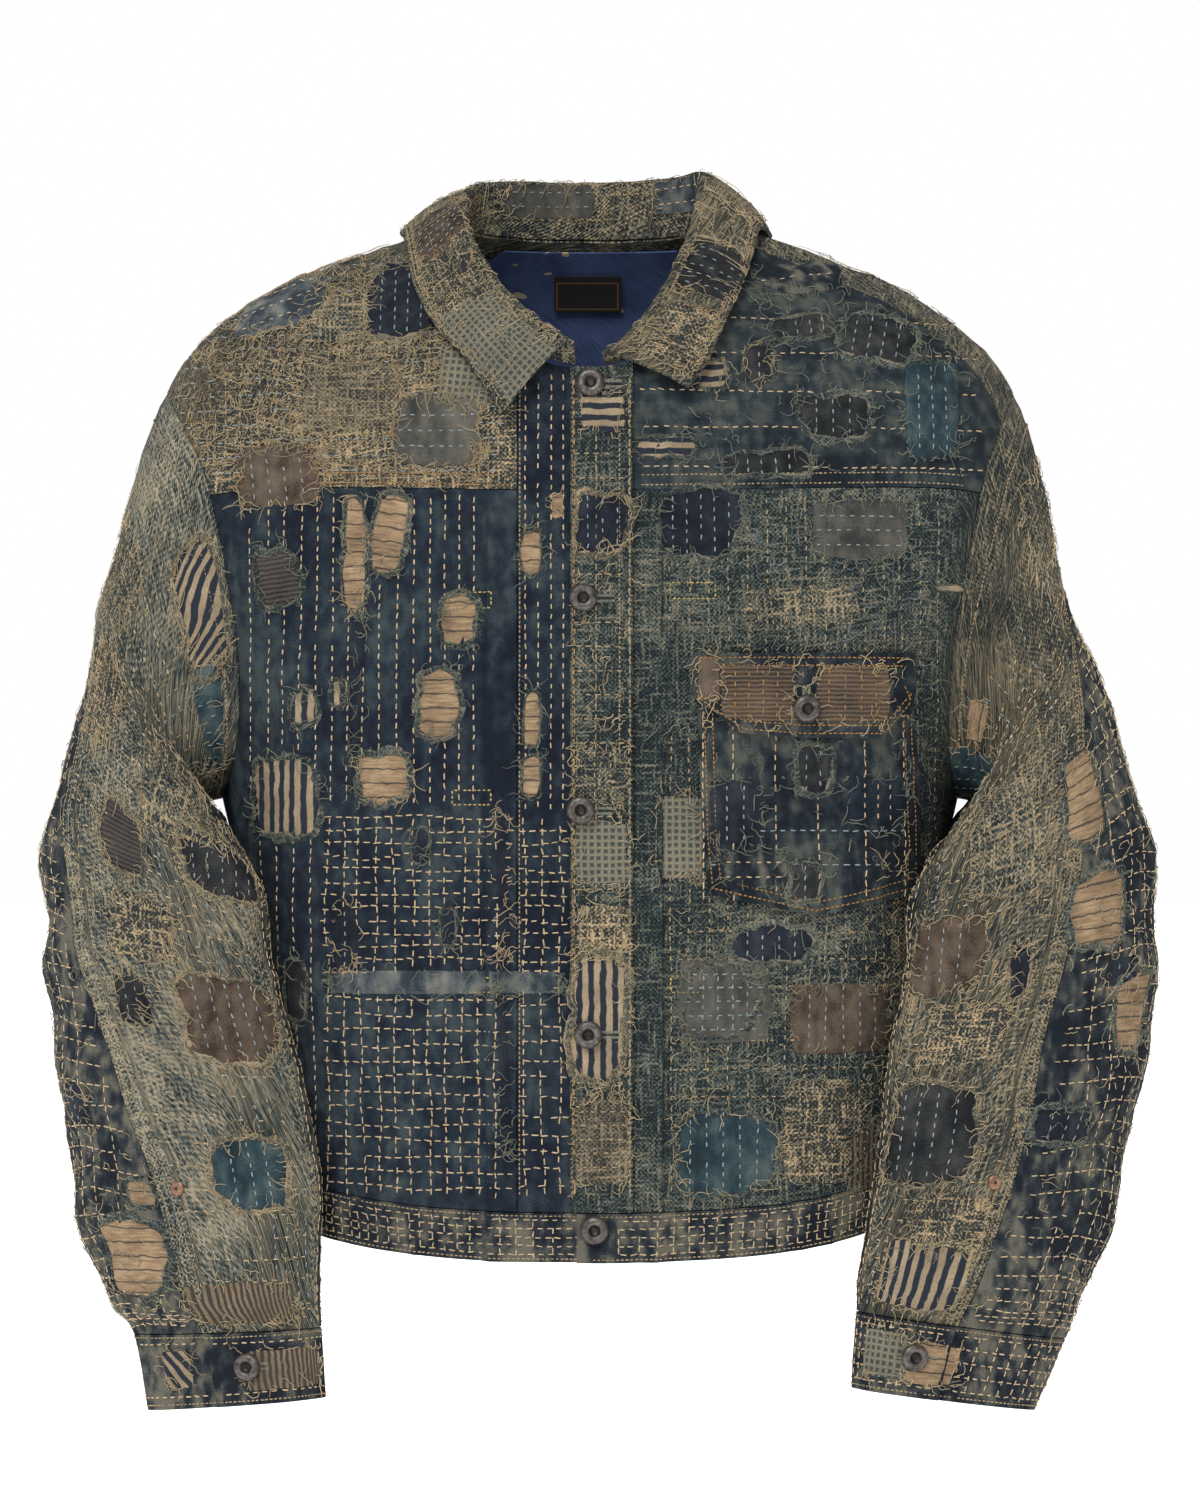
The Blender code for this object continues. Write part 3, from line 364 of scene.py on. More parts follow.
def armhole(side, turn):
    """(v, angle) at this turn (degrees) round the armhole: 0 on top, 90 in front."""
    turn = np.radians(np.asarray(turn, float))
    exponent = 2 / np.where(np.cos(turn) > 0, ARMHOLE_SQUARENESS[1], ARMHOLE_SQUARENESS[0])
    v = ARMHOLE_MIDDLE_V + ARMHOLE_HALF_V * power(np.cos(turn), exponent)
    width = np.radians(np.where(turn > 0, ARMHOLE_FRONT[side], ARMHOLE_BACK))
    angle = math.pi / 2 - width * power(np.sin(turn), exponent)
    return v, angle if side == "L" else -angle


def sleeve_folds(ring, turn):
    """How far the sleeve stands out: each row of the table is a soft ridge."""
    out = np.zeros(np.broadcast(ring, turn).shape)
    for middle, angle, half_ring, half_angle, lean, height in zip(*SLEEVE_FOLDS.values()):
        round_it = (turn - angle + 180) % 360 - 180
        along_it = ring - middle - lean * np.radians(round_it)
        out += height * np.exp(-((along_it / half_ring) ** 2) - (round_it / half_angle) ** 2)
    return out


def sleeve_rings(side, turn):
    """Points of every ring at these turns: the armhole first, then the rings of the table."""
    rings = SLEEVES[side]
    column = (-1,) + (1,) * turn.ndim
    outer, inner = (
        np.stack([rings[f"{edge}_{axis}"].reshape(column) for axis in "xyz"], axis=-1)
        for edge in ("outer", "inner")
    )
    across = unit(outer - inner)
    ahead = unit(np.array([0.0, -1.0, 0.0]) + across * across[..., 1:2])
    c, s = np.cos(np.radians(turn)), np.sin(np.radians(turn))
    squareness = 2 / 2.3
    bulge = np.where(s > 0, rings["front"].reshape(column), rings["back"].reshape(column))
    points = (outer + inner) / 2 + (outer - inner) / 2 * power(c, squareness)[None, ..., None]
    points = points + ahead * (bulge * power(s, squareness))[..., None]
    return np.concatenate([torso(*armhole(side, turn))[None], points])


def sleeve_base(side, ring, turn):
    """Point of a sleeve at this ring (0 the armhole, 10 the end) and turn: a cubic through the rings
    that leaves the armhole outwards and down."""
    ring, turn = np.broadcast_arrays(np.asarray(ring, float), np.asarray(turn, float))
    points = sleeve_rings(side, turn)
    out = 1 if side == "L" else -1
    below = (1 - np.cos(np.radians(turn)))[..., None] / 2
    leave = (1 - below) * np.array([0.45 * out, 0, -0.89]) + below * np.array([0.97 * out, -0.1, -0.2])
    rim = unit(torso(*armhole(side, turn + 0.5)) - torso(*armhole(side, turn - 0.5)))
    leave = unit(leave - rim * (leave * rim).sum(axis=-1, keepdims=True))
    slopes = np.gradient(points, axis=0)
    slopes[0] = leave * norm(points[1] - points[0], True)
    i = np.clip(np.floor(ring).astype(int), 0, len(points) - 2)
    f = (ring - i)[..., None]

    def pick(values, index):
        return np.take_along_axis(values, index[None, ..., None], axis=0)[0]

    ends = pick(points, i) * (1 + 2 * f) * (1 - f) ** 2 + pick(points, i + 1) * f * f * (3 - 2 * f)
    return ends + pick(slopes, i) * f * (1 - f) ** 2 - pick(slopes, i + 1) * f * f * (1 - f)


def sleeve_normal(side, ring, turn):
    step = 1e-3
    down = sleeve_base(side, ring + step, turn) - sleeve_base(side, ring - step, turn)
    round_it = sleeve_base(side, ring, turn + 60 * step) - sleeve_base(side, ring, turn - 60 * step)
    return unit(np.cross(round_it, down)) * (1 if side == "L" else -1)


def sleeve_skin(side, ring, turn, lift=0.0):
    """(points, normals) of folded and rumpled cloth on the sleeve, moved out by lift."""
    ring, turn = np.broadcast_arrays(np.asarray(ring, float), np.asarray(turn, float))
    points, normals = sleeve_base(side, ring, turn), sleeve_normal(side, ring, turn)
    folds = sleeve_folds(ring, turn) * np.clip(ring, 0, 1) * np.clip(CUFF_TOP_RING - ring, 0, 1)
    ease = np.clip(ring / 0.7, 0, 1) * (1 - 0.6 * np.clip((ring - 8.5) / 0.5, 0, 1))
    stand = lift + folds + creases(points, 0.0018, 0.0014, 0.0008) * ease
    return points + normals * stand[..., None], normals


def armhole_mitre(side, turn):
    """The direction that body and sleeve share at the armhole, so that their walls meet."""
    turn = np.asarray(turn, float)
    body = torso_normal(*armhole(side, turn))
    sleeve = sleeve_normal(side, np.full(turn.shape, 1e-3), turn)
    facing = (body * sleeve).sum(axis=-1, keepdims=True)
    return (body + sleeve) / np.maximum(1 + facing, 0.35)


hem = torso(0.0, np.radians(np.arange(360.0)))
print("hem girth", round(float(np.linalg.norm(hem - np.roll(hem, 1, axis=0), axis=1).sum()), 3), "m")
# %% [markdown]
# ## Finishes
# A cloth's colour is never one number: every thread took the dye differently, and wear has bleached
# the high ones. Each finish is a small recipe of nodes. A socket is wrapped in a class that
# understands + - * /, and one method adds any other node. Woven patterns follow the piece's own UV
# map, named metres, because it is measured along the cloth.

# %% A small language for shader nodes
class Wire:
    """One output of a node: arithmetic on it adds Math nodes."""

    def __init__(self, finish, socket):
        self.finish, self.socket = finish, socket

    def maths(self, operation, *values):
        return self.finish.node("Math", {"operation": operation}, dict(enumerate((self, *values))))

    def __add__(self, other):
        return self.maths("ADD", other)

    def __sub__(self, other):
        return self.maths("SUBTRACT", other)

    def __rsub__(self, other):
        return self.finish.node("Math", {"operation": "SUBTRACT"}, {0: other, 1: self})

    def __mul__(self, other):
        return self.maths("MULTIPLY", other)

    def __truediv__(self, other):
        return self.maths("DIVIDE", other)

    __radd__, __rmul__ = __add__, __mul__

    def size(self):
        return self.maths("ABSOLUTE")

    def most(self, other):
        return self.maths("MAXIMUM", other)

    def least(self, other):
        return self.maths("MINIMUM", other)

    def wave(self, pitch):
        """A sine that repeats after each pitch."""
        return (self * (2 * math.pi / pitch)).maths("SINE")

    def between(self, low, high):
        """0 at low, 1 at high, and straight between them."""
        return self.finish.node("MapRange", {"clamp": True}, {0: self, 1: low, 2: high})


FINISHES = {}


class Finish:
    """A material whose nodes are written as expressions."""

    def __init__(self, name, roughness=0.92, specular=0.2, metallic=0.0):
        self.material = FINISHES[name] = bpy.data.materials.new(name)
        self.material.use_nodes = True
        self.tree = self.material.node_tree
        self.shader = self.tree.nodes["Principled BSDF"]
        self.set(**{"Roughness": roughness, "Specular IOR Level": specular, "Metallic": metallic})
        self.metres = self.node("UVMap", {"uv_map": "metres"})
        self.place = self.node("TexCoord", output="Object")

    def node(self, kind, settings=None, sockets=None, output=0):
        made = self.tree.nodes.new("ShaderNode" + kind)
        for key, value in (settings or {}).items():
            setattr(made, key, value)
        for key, value in (sockets or {}).items():
            self.feed(made.inputs[key], value)
        return Wire(self, made.outputs[output])

    def feed(self, socket, value):
        if isinstance(value, Wire):
            self.tree.links.new(value.socket, socket)
        else:
            socket.default_value = value

    def set(self, **sockets):
        for key, value in sockets.items():
            self.feed(self.shader.inputs[key], value)

    def plane(self):
        """How far across the cloth and up it, in metres."""
        parts = self.node("SeparateXYZ", None, {0: self.metres}).socket.node.outputs
        return [Wire(self, part) for part in parts[:2]]

    def turn(self, degrees=0):
        """The same, turned by an angle."""
        x, y = self.plane()
        c, s = math.cos(math.radians(degrees)), math.sin(math.radians(degrees))
        return x * c + y * s, y * c - x * s

    def noise(self, vector, scale, detail=2.0, factors=None, roughness=0.5):
        if factors:
            vector = self.node("VectorMath", {"operation": "MULTIPLY"}, {0: vector, 1: factors})
        sockets = {0: vector, "Scale": scale, "Detail": detail, "Roughness": roughness}
        return self.node("TexNoise", None, sockets)

    def ramp(self, value, *stops):
        """Colours at these places along a value, blended between."""
        wire = self.node("ValToRGB", None, {0: value})
        elements = wire.socket.node.color_ramp.elements
        while len(elements) < len(stops):
            elements.new(0.5)
        for element, (position, colour) in zip(elements, stops):
            element.position, element.color = position, (*colour, 1)
        return wire

    def mix(self, factor, first, second):
        sockets = {0: factor}
        for index, colour in ((6, first), (7, second)):
            sockets[index] = colour if isinstance(colour, Wire) else (*colour, 1)
        return self.node("Mix", {"data_type": "RGBA"}, sockets, output=2)

    def surface(self, colour, height, strength, distance):
        """The colour, and the height as a Bump node on the shader's normal."""
        bump = self.node("Bump", None, {"Height": height, "Strength": strength, "Distance": distance})
        self.set(**{"Base Color": colour, "Normal": bump})


# Red, green and blue in thousandths of full light, darkest first, then any line or spot.
SHADES = {}
for name, *values in rows_of("""
khaki_weave 16 21 24  64 71 58  142 130 91  330 255 155
sand_weave 24 30 30  82 78 58  200 162 104  440 325 190
teal_weave 11 17 20  34 48 46  73 85 70  185 168 120
sleeve_weave 16 21 24  78 92 80  172 168 127  345 285 190
tan_weave 32 32 28  100 88 60  170 140 96  290 225 145
fray 40 46 42  100 100 78  200 172 115  400 310 190
teal_fray 16 23 26  48 62 62  110 122 104  260 232 160
front_indigo 5 9 18  13 22 34  46 64 70
cross_indigo 7 11 18  22 30 37  135 126 98
yoke_indigo 10 16 22  24 36 43  88 96 82
pocket_indigo 7 11 17  19 28 35  82 88 76
pale_indigo 28 38 50  75 90 98  190 190 160
navy 6 8 14  13 17 27  34 42 55
charcoal 9 10 12  22 24 26  60 60 55
brown 40 27 19  98 70 50  160 122 92
grey 36 38 35  78 76 66  145 136 110
teal 12 26 34  26 52 64  85 115 110
ticking_up 13 17 25  300 232 150
ticking_across 13 17 25  310 238 152
ticking_slant 13 17 25  280 212 134
brown_ticking 36 30 24  170 125 80
corduroy 18 16 15  150 104 66
dark_rib 14 13 14  78 66 56
towel_check 36 42 38  215 190 132
cream_thread 260 188 110  540 400 245
straw_thread 230 172 104  530 400 245
blue_thread 105 135 145  260 300 300
tan_thread 150 112 66  370 275 155
loose_thread 120 108 74  460 355 215
teal_thread 60 74 66  200 205 150
orange_thread 150 75 22  340 180 55
yellow_thread 280 195 60  500 370 130
button_metal 24 23 23  150 128 114
dark_metal 10 10 10  50 43 38
copper 100 56 38  340 190 125
lined_tan 85 59 37  205 138 80  345 245 148  22 21 24
spotted_lining 22 31 80  38 60 140  66 98 200  400 320 210
blank_label 7 6 6  20 16 13  180 95 26
"""):
    parts = [int(value) / 1000 for value in values]
    SHADES[name] = list(zip(parts[::3], parts[1::3], parts[2::3]))

# %% [markdown]
# ## Hand-woven cloth with a dashed weave
# Most of the jacket is a thick indigo cloth in which pale threads surface as short dashes over a dark
# ground, more of them where it has worn. A product of two sines gives the places of the dashes, a
# wandering of the coordinates makes them uneven, and noise drawn out along each thread gives every
# thread its own shade. A picture of cloth would be quicker but could not be recoloured or stretched.

# %% The dashed weave
def dashed_weave(name, pitch=0.003, share=0.0, contrast=1.0):
    """Value = dashes + threads + flecks + worn areas, read through four colours."""
    cloth = Finish(name)
    blotch = cloth.noise(cloth.place, 21, 4.0, roughness=0.6)
    x, y = cloth.turn()
    wander = (cloth.noise(cloth.place, 110, 1.0) - 0.5) * 0.0022
    dash = (x + wander).wave(pitch) * (y - wander).wave(pitch)
    warp = cloth.noise(cloth.metres, 1.0, 1.0, (470, 60, 1))
    weft = cloth.noise(cloth.metres, 1.0, 1.0, (60, 470, 1))
    fleck = cloth.noise(cloth.metres, 640)
    worn = cloth.noise(cloth.place, 7)
    threads = warp.most(weft)
    value = (dash * 0.27 + (threads - 0.56) * 2.6 * contrast + (fleck - 0.5) * 1.9 * contrast
             + (blotch - 0.5) * 1.5 + (worn - 0.5) * 0.8 + (0.42 + share))
    colour = cloth.ramp(value, *zip((0.02, 0.34, 0.66, 1.0), SHADES[name]))
    cloth.set(Roughness=0.97 - value * 0.1)
    cloth.surface(colour, dash * 0.5 + fleck * 1.0 + threads * 1.4, 0.95, 0.0018)


dashed_weave("khaki_weave", share=0.06, contrast=1.3)
dashed_weave("sand_weave", share=0.02, contrast=1.6)
dashed_weave("teal_weave", share=-0.02, contrast=1.2)
dashed_weave("sleeve_weave", pitch=0.0034, share=0.04, contrast=1.2)
dashed_weave("tan_weave", share=0.02)
dashed_weave("fray", pitch=0.0016, share=0.12)
dashed_weave("teal_fray", pitch=0.0016, share=0.06)

# %% [markdown]
# ## Plain indigo and plain rags
# A fine weave, with the dye rubbed off in soft streaks and along creases. Two noises of very different
# sizes give the fading, and a narrow band of a third one gives the pale creases.

# %% Plain cloth
def plain_cloth(name, fade=1.0, streak=(70, 40, 9)):
    """Value = streaks + clouds + fine grain; a thin band of noise is worn pale."""
    cloth = Finish(name)
    streaks = cloth.noise(cloth.place, 1.0, 3.0, streak)
    cloud = cloth.noise(cloth.place, 17, 3.0, roughness=0.6)
    grain = cloth.noise(cloth.metres, 900)
    pucker = cloth.noise(cloth.place, 125, 1.0, (1, 1, 0.7))
    x, y = cloth.turn()
    weave = x.wave(0.0011) * y.wave(0.0011)
    rubbed = 1 - ((cloth.noise(cloth.place, 33) - 0.5).size() * 26).least(1.0)
    value = ((streaks - 0.5) * 1.2 * fade + (cloud - 0.5) * 1.5 * fade + (grain - 0.5) * 0.9
             + (pucker - 0.5) * 1.4 * fade + rubbed * (0.35 * 0.25) + 0.43)
    colour = cloth.ramp(value, *zip((0.06, 0.45, 1.0), SHADES[name]))
    cloth.set(Roughness=0.95 - value * 0.1)
    cloth.surface(colour, weave * 0.25 + grain * 0.6 + rubbed * 0.4 + pucker * 2.2, 0.85, 0.0018)


for name, fade in dict(front_indigo=1.0, cross_indigo=1.5, pocket_indigo=1.3, pale_indigo=1.3, navy=0.8,
                       charcoal=0.9, brown=0.8, grey=0.8, teal=1.0).items():
    plain_cloth(name, fade)
plain_cloth("yoke_indigo", 1.1, (12, 40, 105))

# %% [markdown]
# ## Striped, ribbed and checked rags
# The smaller rags came from mattress ticking, corduroy, a checked towel, and a tan cloth with a thin
# dark line every few millimetres. Each is one coordinate folded into a wave: a ramp across the wave
# draws the stripe, and the same wave raises the rib.

# %% Patterned cloth
def banded(cloth, coordinate, period, waver=0.0006):
    """A coordinate folded into 0 to 1 across each stripe, a little unsteady."""
    unsteady = (cloth.noise(cloth.metres, 130, 1.0) - 0.5) * waver * 4
    return ((coordinate + unsteady) / period).maths("FRACT")


def ticking(name, turn, period, broad=0.5, edge=0.06):
    """Broad pale stripes on a dark ground."""
    cloth = Finish(name)
    dark, light = SHADES[name]
    across = banded(cloth, cloth.turn(turn)[0], period)
    fleck = cloth.noise(cloth.metres, 800)
    soil = cloth.noise(cloth.place, 45, 3.0)
    broad_stripe = across.between(0.0, edge) * (1 - across.between(broad, broad + edge))
    mask = (broad_stripe * (0.95 + (fleck - 0.5) * 1.2)).most(0.0).least(1.0)
    pale = cloth.mix(soil.between(0.3, 0.7), tuple(0.6 * c for c in light), light)
    cloth.surface(cloth.mix(mask, dark, pale), mask * 0.6 + fleck, 0.5, 0.0007)


ticking("ticking_up", 0, 0.0074)
ticking("ticking_across", 90, 0.0072)
ticking("ticking_slant", 38, 0.0072, 0.46)
ticking("brown_ticking", 0, 0.0036)


def lined_cloth(name):
    """Tan cloth with slubs, and a thin dark line about every nine millimetres."""
    cloth = Finish(name)
    across = banded(cloth, cloth.turn()[1], 0.0088, 0.0008)
    line = (1.35 - (across - 0.5).size() * 15).most(0.0).least(1.0)
    slub = cloth.noise(cloth.metres, 1.0, 2.0, (90, 700, 1))
    fleck = cloth.noise(cloth.metres, 900)
    soil = cloth.noise(cloth.place, 50, 3.0)
    value = (slub - 0.5) * 1.1 + (fleck - 0.5) * 0.5 + (soil - 0.5) * 1.1 + 0.5
    ground = cloth.ramp(value, *zip((0.05, 0.5, 0.95), SHADES[name]))
    colour = cloth.mix(line * 0.88, ground, SHADES[name][3])
    cloth.surface(colour, slub * 1.2 + fleck * 0.6 - line * 0.3, 0.55, 0.0008)


lined_cloth("lined_tan")


def ribbed(name, pitch):
    """Corduroy: round ribs, with the pile worn pale on their tops."""
    cloth = Finish(name)
    across = cloth.turn(90.0)[0]
    wander = (cloth.noise(cloth.metres, 150, 1.0) - 0.5) * 0.0012
    rib = (across + wander).wave(pitch) * 0.5 + 0.5
    fleck = cloth.noise(cloth.metres, 800)
    worn = cloth.noise(cloth.place, 40, 3.0)
    value = rib * 0.55 + (fleck - 0.5) * 0.8 + (worn - 0.5) * 0.9 + 0.18
    cloth.surface(cloth.mix(value.between(0.0, 1.0), *SHADES[name]), rib + fleck * 0.5, 0.8, 0.0011)


ribbed("corduroy", 0.0027)
ribbed("dark_rib", 0.003)


def checked(name, pitch=0.0043):
    """A small check: pale lines both ways, palest where they cross."""
    cloth = Finish(name)
    x, y = cloth.turn()
    wander = (cloth.noise(cloth.place, 140, 1.0) - 0.5) * 0.0016
    up = (x + wander).wave(pitch) * 0.5 + 0.5
    over = (y - wander).wave(pitch) * 0.5 + 0.5
    fleck = cloth.noise(cloth.metres, 1000)
    cloud = cloth.noise(cloth.place, 24, 3.0)
    value = up.most(over) * 0.9 + (fleck - 0.5) * 0.9 + (cloud - 0.5) * 0.9 - 0.3
    colour = cloth.mix(value.between(0.0, 1.0), *SHADES[name])
    cloth.surface(colour, up * 0.5 + over * 0.5 + fleck * 0.7, 0.7, 0.001)


checked("towel_check")

# %% [markdown]
# ## Lining, label, threads and metal
# The lining shows only inside the neck: a blue slubbed cotton with a generic scatter of resist-dyed
# spots. The label is left blank inside a woven border. Threads are dyed cotton, and the buttons are
# pressed steel whose copper plating has mostly darkened.

# %% Lining and label
lining = Finish("spotted_lining", 0.88)
slub = lining.noise(lining.metres, 1.0, 2.0, (700, 60, 1))
cloud = lining.noise(lining.place, 30, 3.0)
spots = lining.node("TexVoronoi", {"feature": "F1"}, {0: lining.metres, "Scale": 62.0})
dots = spots.between(0.3, 0.26) * lining.noise(lining.metres, 31, 0.0).between(0.5, 0.53)
value = (slub - 0.5) * 0.9 + (cloud - 0.5) * 1.2 + 0.5
blue = lining.ramp(value, *zip((0.1, 0.5, 0.9), SHADES["spotted_lining"]))
lining.surface(lining.mix(dots * 0.9, blue, SHADES["spotted_lining"][3]), slub, 0.5, 0.0005)

LABEL_X, LABEL_Z = (-0.024, 0.0205), (-0.042, -0.019)
label = Finish("blank_label", 0.72)
x, y = label.plane()
half_x, half_y = (LABEL_X[1] - LABEL_X[0]) / 2, (LABEL_Z[1] - LABEL_Z[0]) / 2
from_edge = (half_x - (x - half_x).size()).least(half_y - (y - half_y).size())
border = from_edge.between(0.0016, 0.0018) * (1 - from_edge.between(0.0024, 0.0026))
yarn = label.noise(label.metres, 1400, 1.0)
dark, light, gold = SHADES["blank_label"]
label_colour = label.mix(border * 0.75, label.mix(yarn, dark, light), gold)
label.surface(label_colour, y.wave(0.0006) * 0.5 + 0.5 + yarn, 0.5, 0.0003)


# %% Threads and metals
def thread(name):
    """Dyed cotton: a shade that drifts from stitch to stitch, and a fine ply."""
    cotton = Finish(name, 0.85, 0.25)
    ply = cotton.noise(cotton.place, 1800, 1.0)
    value = (cotton.noise(cotton.place, 70) - 0.5) * 1.2 + (ply - 0.5) * 1.0 + 0.55
    cotton.surface(cotton.mix(value.between(0.0, 1.0), *SHADES[name]), ply, 0.4, 0.0003)


def old_metal(name):
    """Plated steel: dark in its hollows, rubbed bright here and there."""
    metal = Finish(name, 0.42, 0.5, 0.75)
    tarnish = metal.noise(metal.place, 330, 3.0, roughness=0.6)
    grain = metal.noise(metal.place, 2200, 1.0)
    value = tarnish * 1.4 - 0.2 + (grain - 0.5) * 0.4
    metal.set(Roughness=0.62 - value * 0.25)
    metal.surface(metal.mix(value.between(0.2, 0.8), *SHADES[name]), tarnish + grain * 0.4, 0.35, 0.0003)


for colour in ("cream", "straw", "blue", "tan", "loose", "teal", "orange", "yellow"):
    thread(colour + "_thread")
for name in ("button_metal", "dark_metal", "copper"):
    old_metal(name)
print(len(FINISHES), "finishes")
# %% [markdown]
# ## Walls of cloth
# A panel is a closed, thin wall: an outer face, an inner face and a rim, so that it has a real edge
# and never lets light through. Solidify could thicken a sheet, but at an armhole two panels share a
# mitre, so each wall is thickened along directions that it is given.

# %% Meshes from arrays
def new_piece(name, points, faces, finishes, uv=None, slots=None, sharp=50):
    """An object from a list of face arrays over one array of points."""
    mesh = bpy.data.meshes.new(name)
    rows = [row for block in faces for row in block.tolist()]
    mesh.from_pydata(points.reshape(-1, 3).tolist(), [], rows)
    corners = np.concatenate([block.reshape(-1) for block in faces])
    if uv is not None:
        layer = mesh.uv_layers.new(name="metres")
        layer.data.foreach_set("uv", uv.reshape(-1, 2)[corners].astype(np.float32).ravel())
    for finish in finishes:
        mesh.materials.append(FINISHES[finish])
    if slots is not None:
        mesh.polygons.foreach_set("material_index", slots.astype(np.int32))
    mesh.shade_smooth()
    mesh.set_sharp_from_angle(angle=math.radians(sharp))
    piece = bpy.data.objects.new(name, mesh)
    bpy.context.scene.collection.objects.link(piece)
    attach(piece, "root")
    return piece


def grid_faces(rows, columns, start=0):
    index = np.arange(rows * columns).reshape(rows, columns) + start
    return stack(index[:-1, :-1], index[:-1, 1:], index[1:, 1:], index[1:, :-1]).reshape(-1, 4)


def wall_arrays(outer, normals, thickness, gaps="", wide="", uv=None):
    """Points, faces and UV of a closed wall, its inner face moved back along the normals. Unless
    given, the UV is the distance run along the rows and the columns."""
    outer, normals = np.array(outer), np.array(normals)
    edges = {"b": (np.s_[0, :], np.s_[1, :]), "t": (np.s_[-1, :], np.s_[-2, :]),
             "l": (np.s_[:, 0], np.s_[:, 1]), "r": (np.s_[:, -1], np.s_[:, -2])}
    for letter in gaps:
        edge, inside = edges[letter]
        back = (WIDE_GAP if letter in wide else SEAM_GAP) / 2
        outer[edge] += unit(outer[inside] - outer[edge]) * back
    if uv is None:
        u = np.cumsum(norm(np.diff(outer, axis=1, prepend=outer[:, :1])), axis=1)
        v = np.cumsum(norm(np.diff(outer, axis=0, prepend=outer[:1])), axis=0)
        uv = stack(u, v)
    across, up = outer[1:, 1:] - outer[1:, :-1], outer[1:, :-1] - outer[:-1, :-1]
    if (np.cross(across, up) * normals[1:, 1:]).sum() < 0:
        outer, normals, uv = outer[:, ::-1], normals[:, ::-1], uv[:, ::-1]
    inner = outer - normals * thickness
    rows, columns = outer.shape[:2]
    quads = grid_faces(rows, columns)
    index = np.arange(rows * columns).reshape(rows, columns)
    around = np.concatenate([index[0, :-1], index[:-1, -1], index[-1, :0:-1], index[:0:-1, 0]])
    after = np.roll(around, -1)
    rim = stack(after, around, around + rows * columns, after + rows * columns)
    faces = np.concatenate([quads, quads[:, ::-1] + rows * columns, rim])
    points = np.concatenate([outer.reshape(-1, 3), inner.reshape(-1, 3)])
    return points, faces, np.concatenate([uv.reshape(-1, 2)] * 2)


CUTS, GRIDS = {}, {}


def wall(name, skin_grid, finish, slot, thickness=CLOTH, gaps="btlr", wide="", stands_for=()):
    """A panel, which stands for the solid's panel of the same name or for those listed. Its cut is
    noted: the longest run along a row, at most 2.5 mean widths, and along a column, and the area."""
    outer, normals = skin_grid
    points, faces, uv = wall_arrays(outer, normals, thickness, gaps, wide)
    piece = new_piece(name + "_cloth", points, [faces], [finish], uv)
    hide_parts(*(stands_for or [name]))
    GRIDS[name] = outer
    width = norm(np.diff(outer, axis=1)).sum(axis=1).max()
    length = norm(np.diff(outer, axis=0)).sum(axis=0).max()
    area = norm(np.cross(outer[1:, 1:] - outer[:-1, :-1], outer[1:, :-1] - outer[:-1, 1:])).sum() / 2
    width, area = min(width, area / length / 0.4), min(area, width * length)
    CUTS[name] = (piece, float(width), float(length), float(area))
    print(f"{name}: {len(faces)} faces, cut {width:.3f} x {length:.3f} m, {area:.4f} square metres")


# %% [markdown]
# ## The body panels
# The jacket is cut as a tailor cuts one: two fronts and a back below yokes, a placket down each front
# edge, and bands at the hem. Each panel is a grid of spots on the torso that keeps to the armhole's
# edge on one side and eases to straight rows on the other.

# %% Spots for the body panels
def torso_panel(name, spots, finish, slot, lift=0.0, mitres=(), folded=True, **options):
    """A panel over a grid of (v, angle); mitres are stretches of its edge on an armhole."""
    points, normals = skin(spots[..., 0], spots[..., 1], lift, folded)
    for place, directions in mitres:
        normals[place] = directions
    wall(name, (points, normals), finish, slot, **options)


def between(bottom, top, left, right):
    """The grid that fills these four edges."""
    s = np.linspace(0, 1, len(bottom))[None, :, None]
    r = np.linspace(0, 1, len(left))[:, None, None]
    ruled = (1 - r) * bottom[None] + r * top[None] + (1 - s) * left[:, None] + s * right[:, None]
    corners = (1 - r) * ((1 - s) * bottom[0] + s * bottom[-1]) + r * ((1 - s) * top[0] + s * top[-1])
    return ruled - corners


def yoke_line(middle_v, edge_v, share):
    """A yoke's seam at this share of the way from the middle to the armhole."""
    return middle_v + (edge_v - middle_v) * share**2


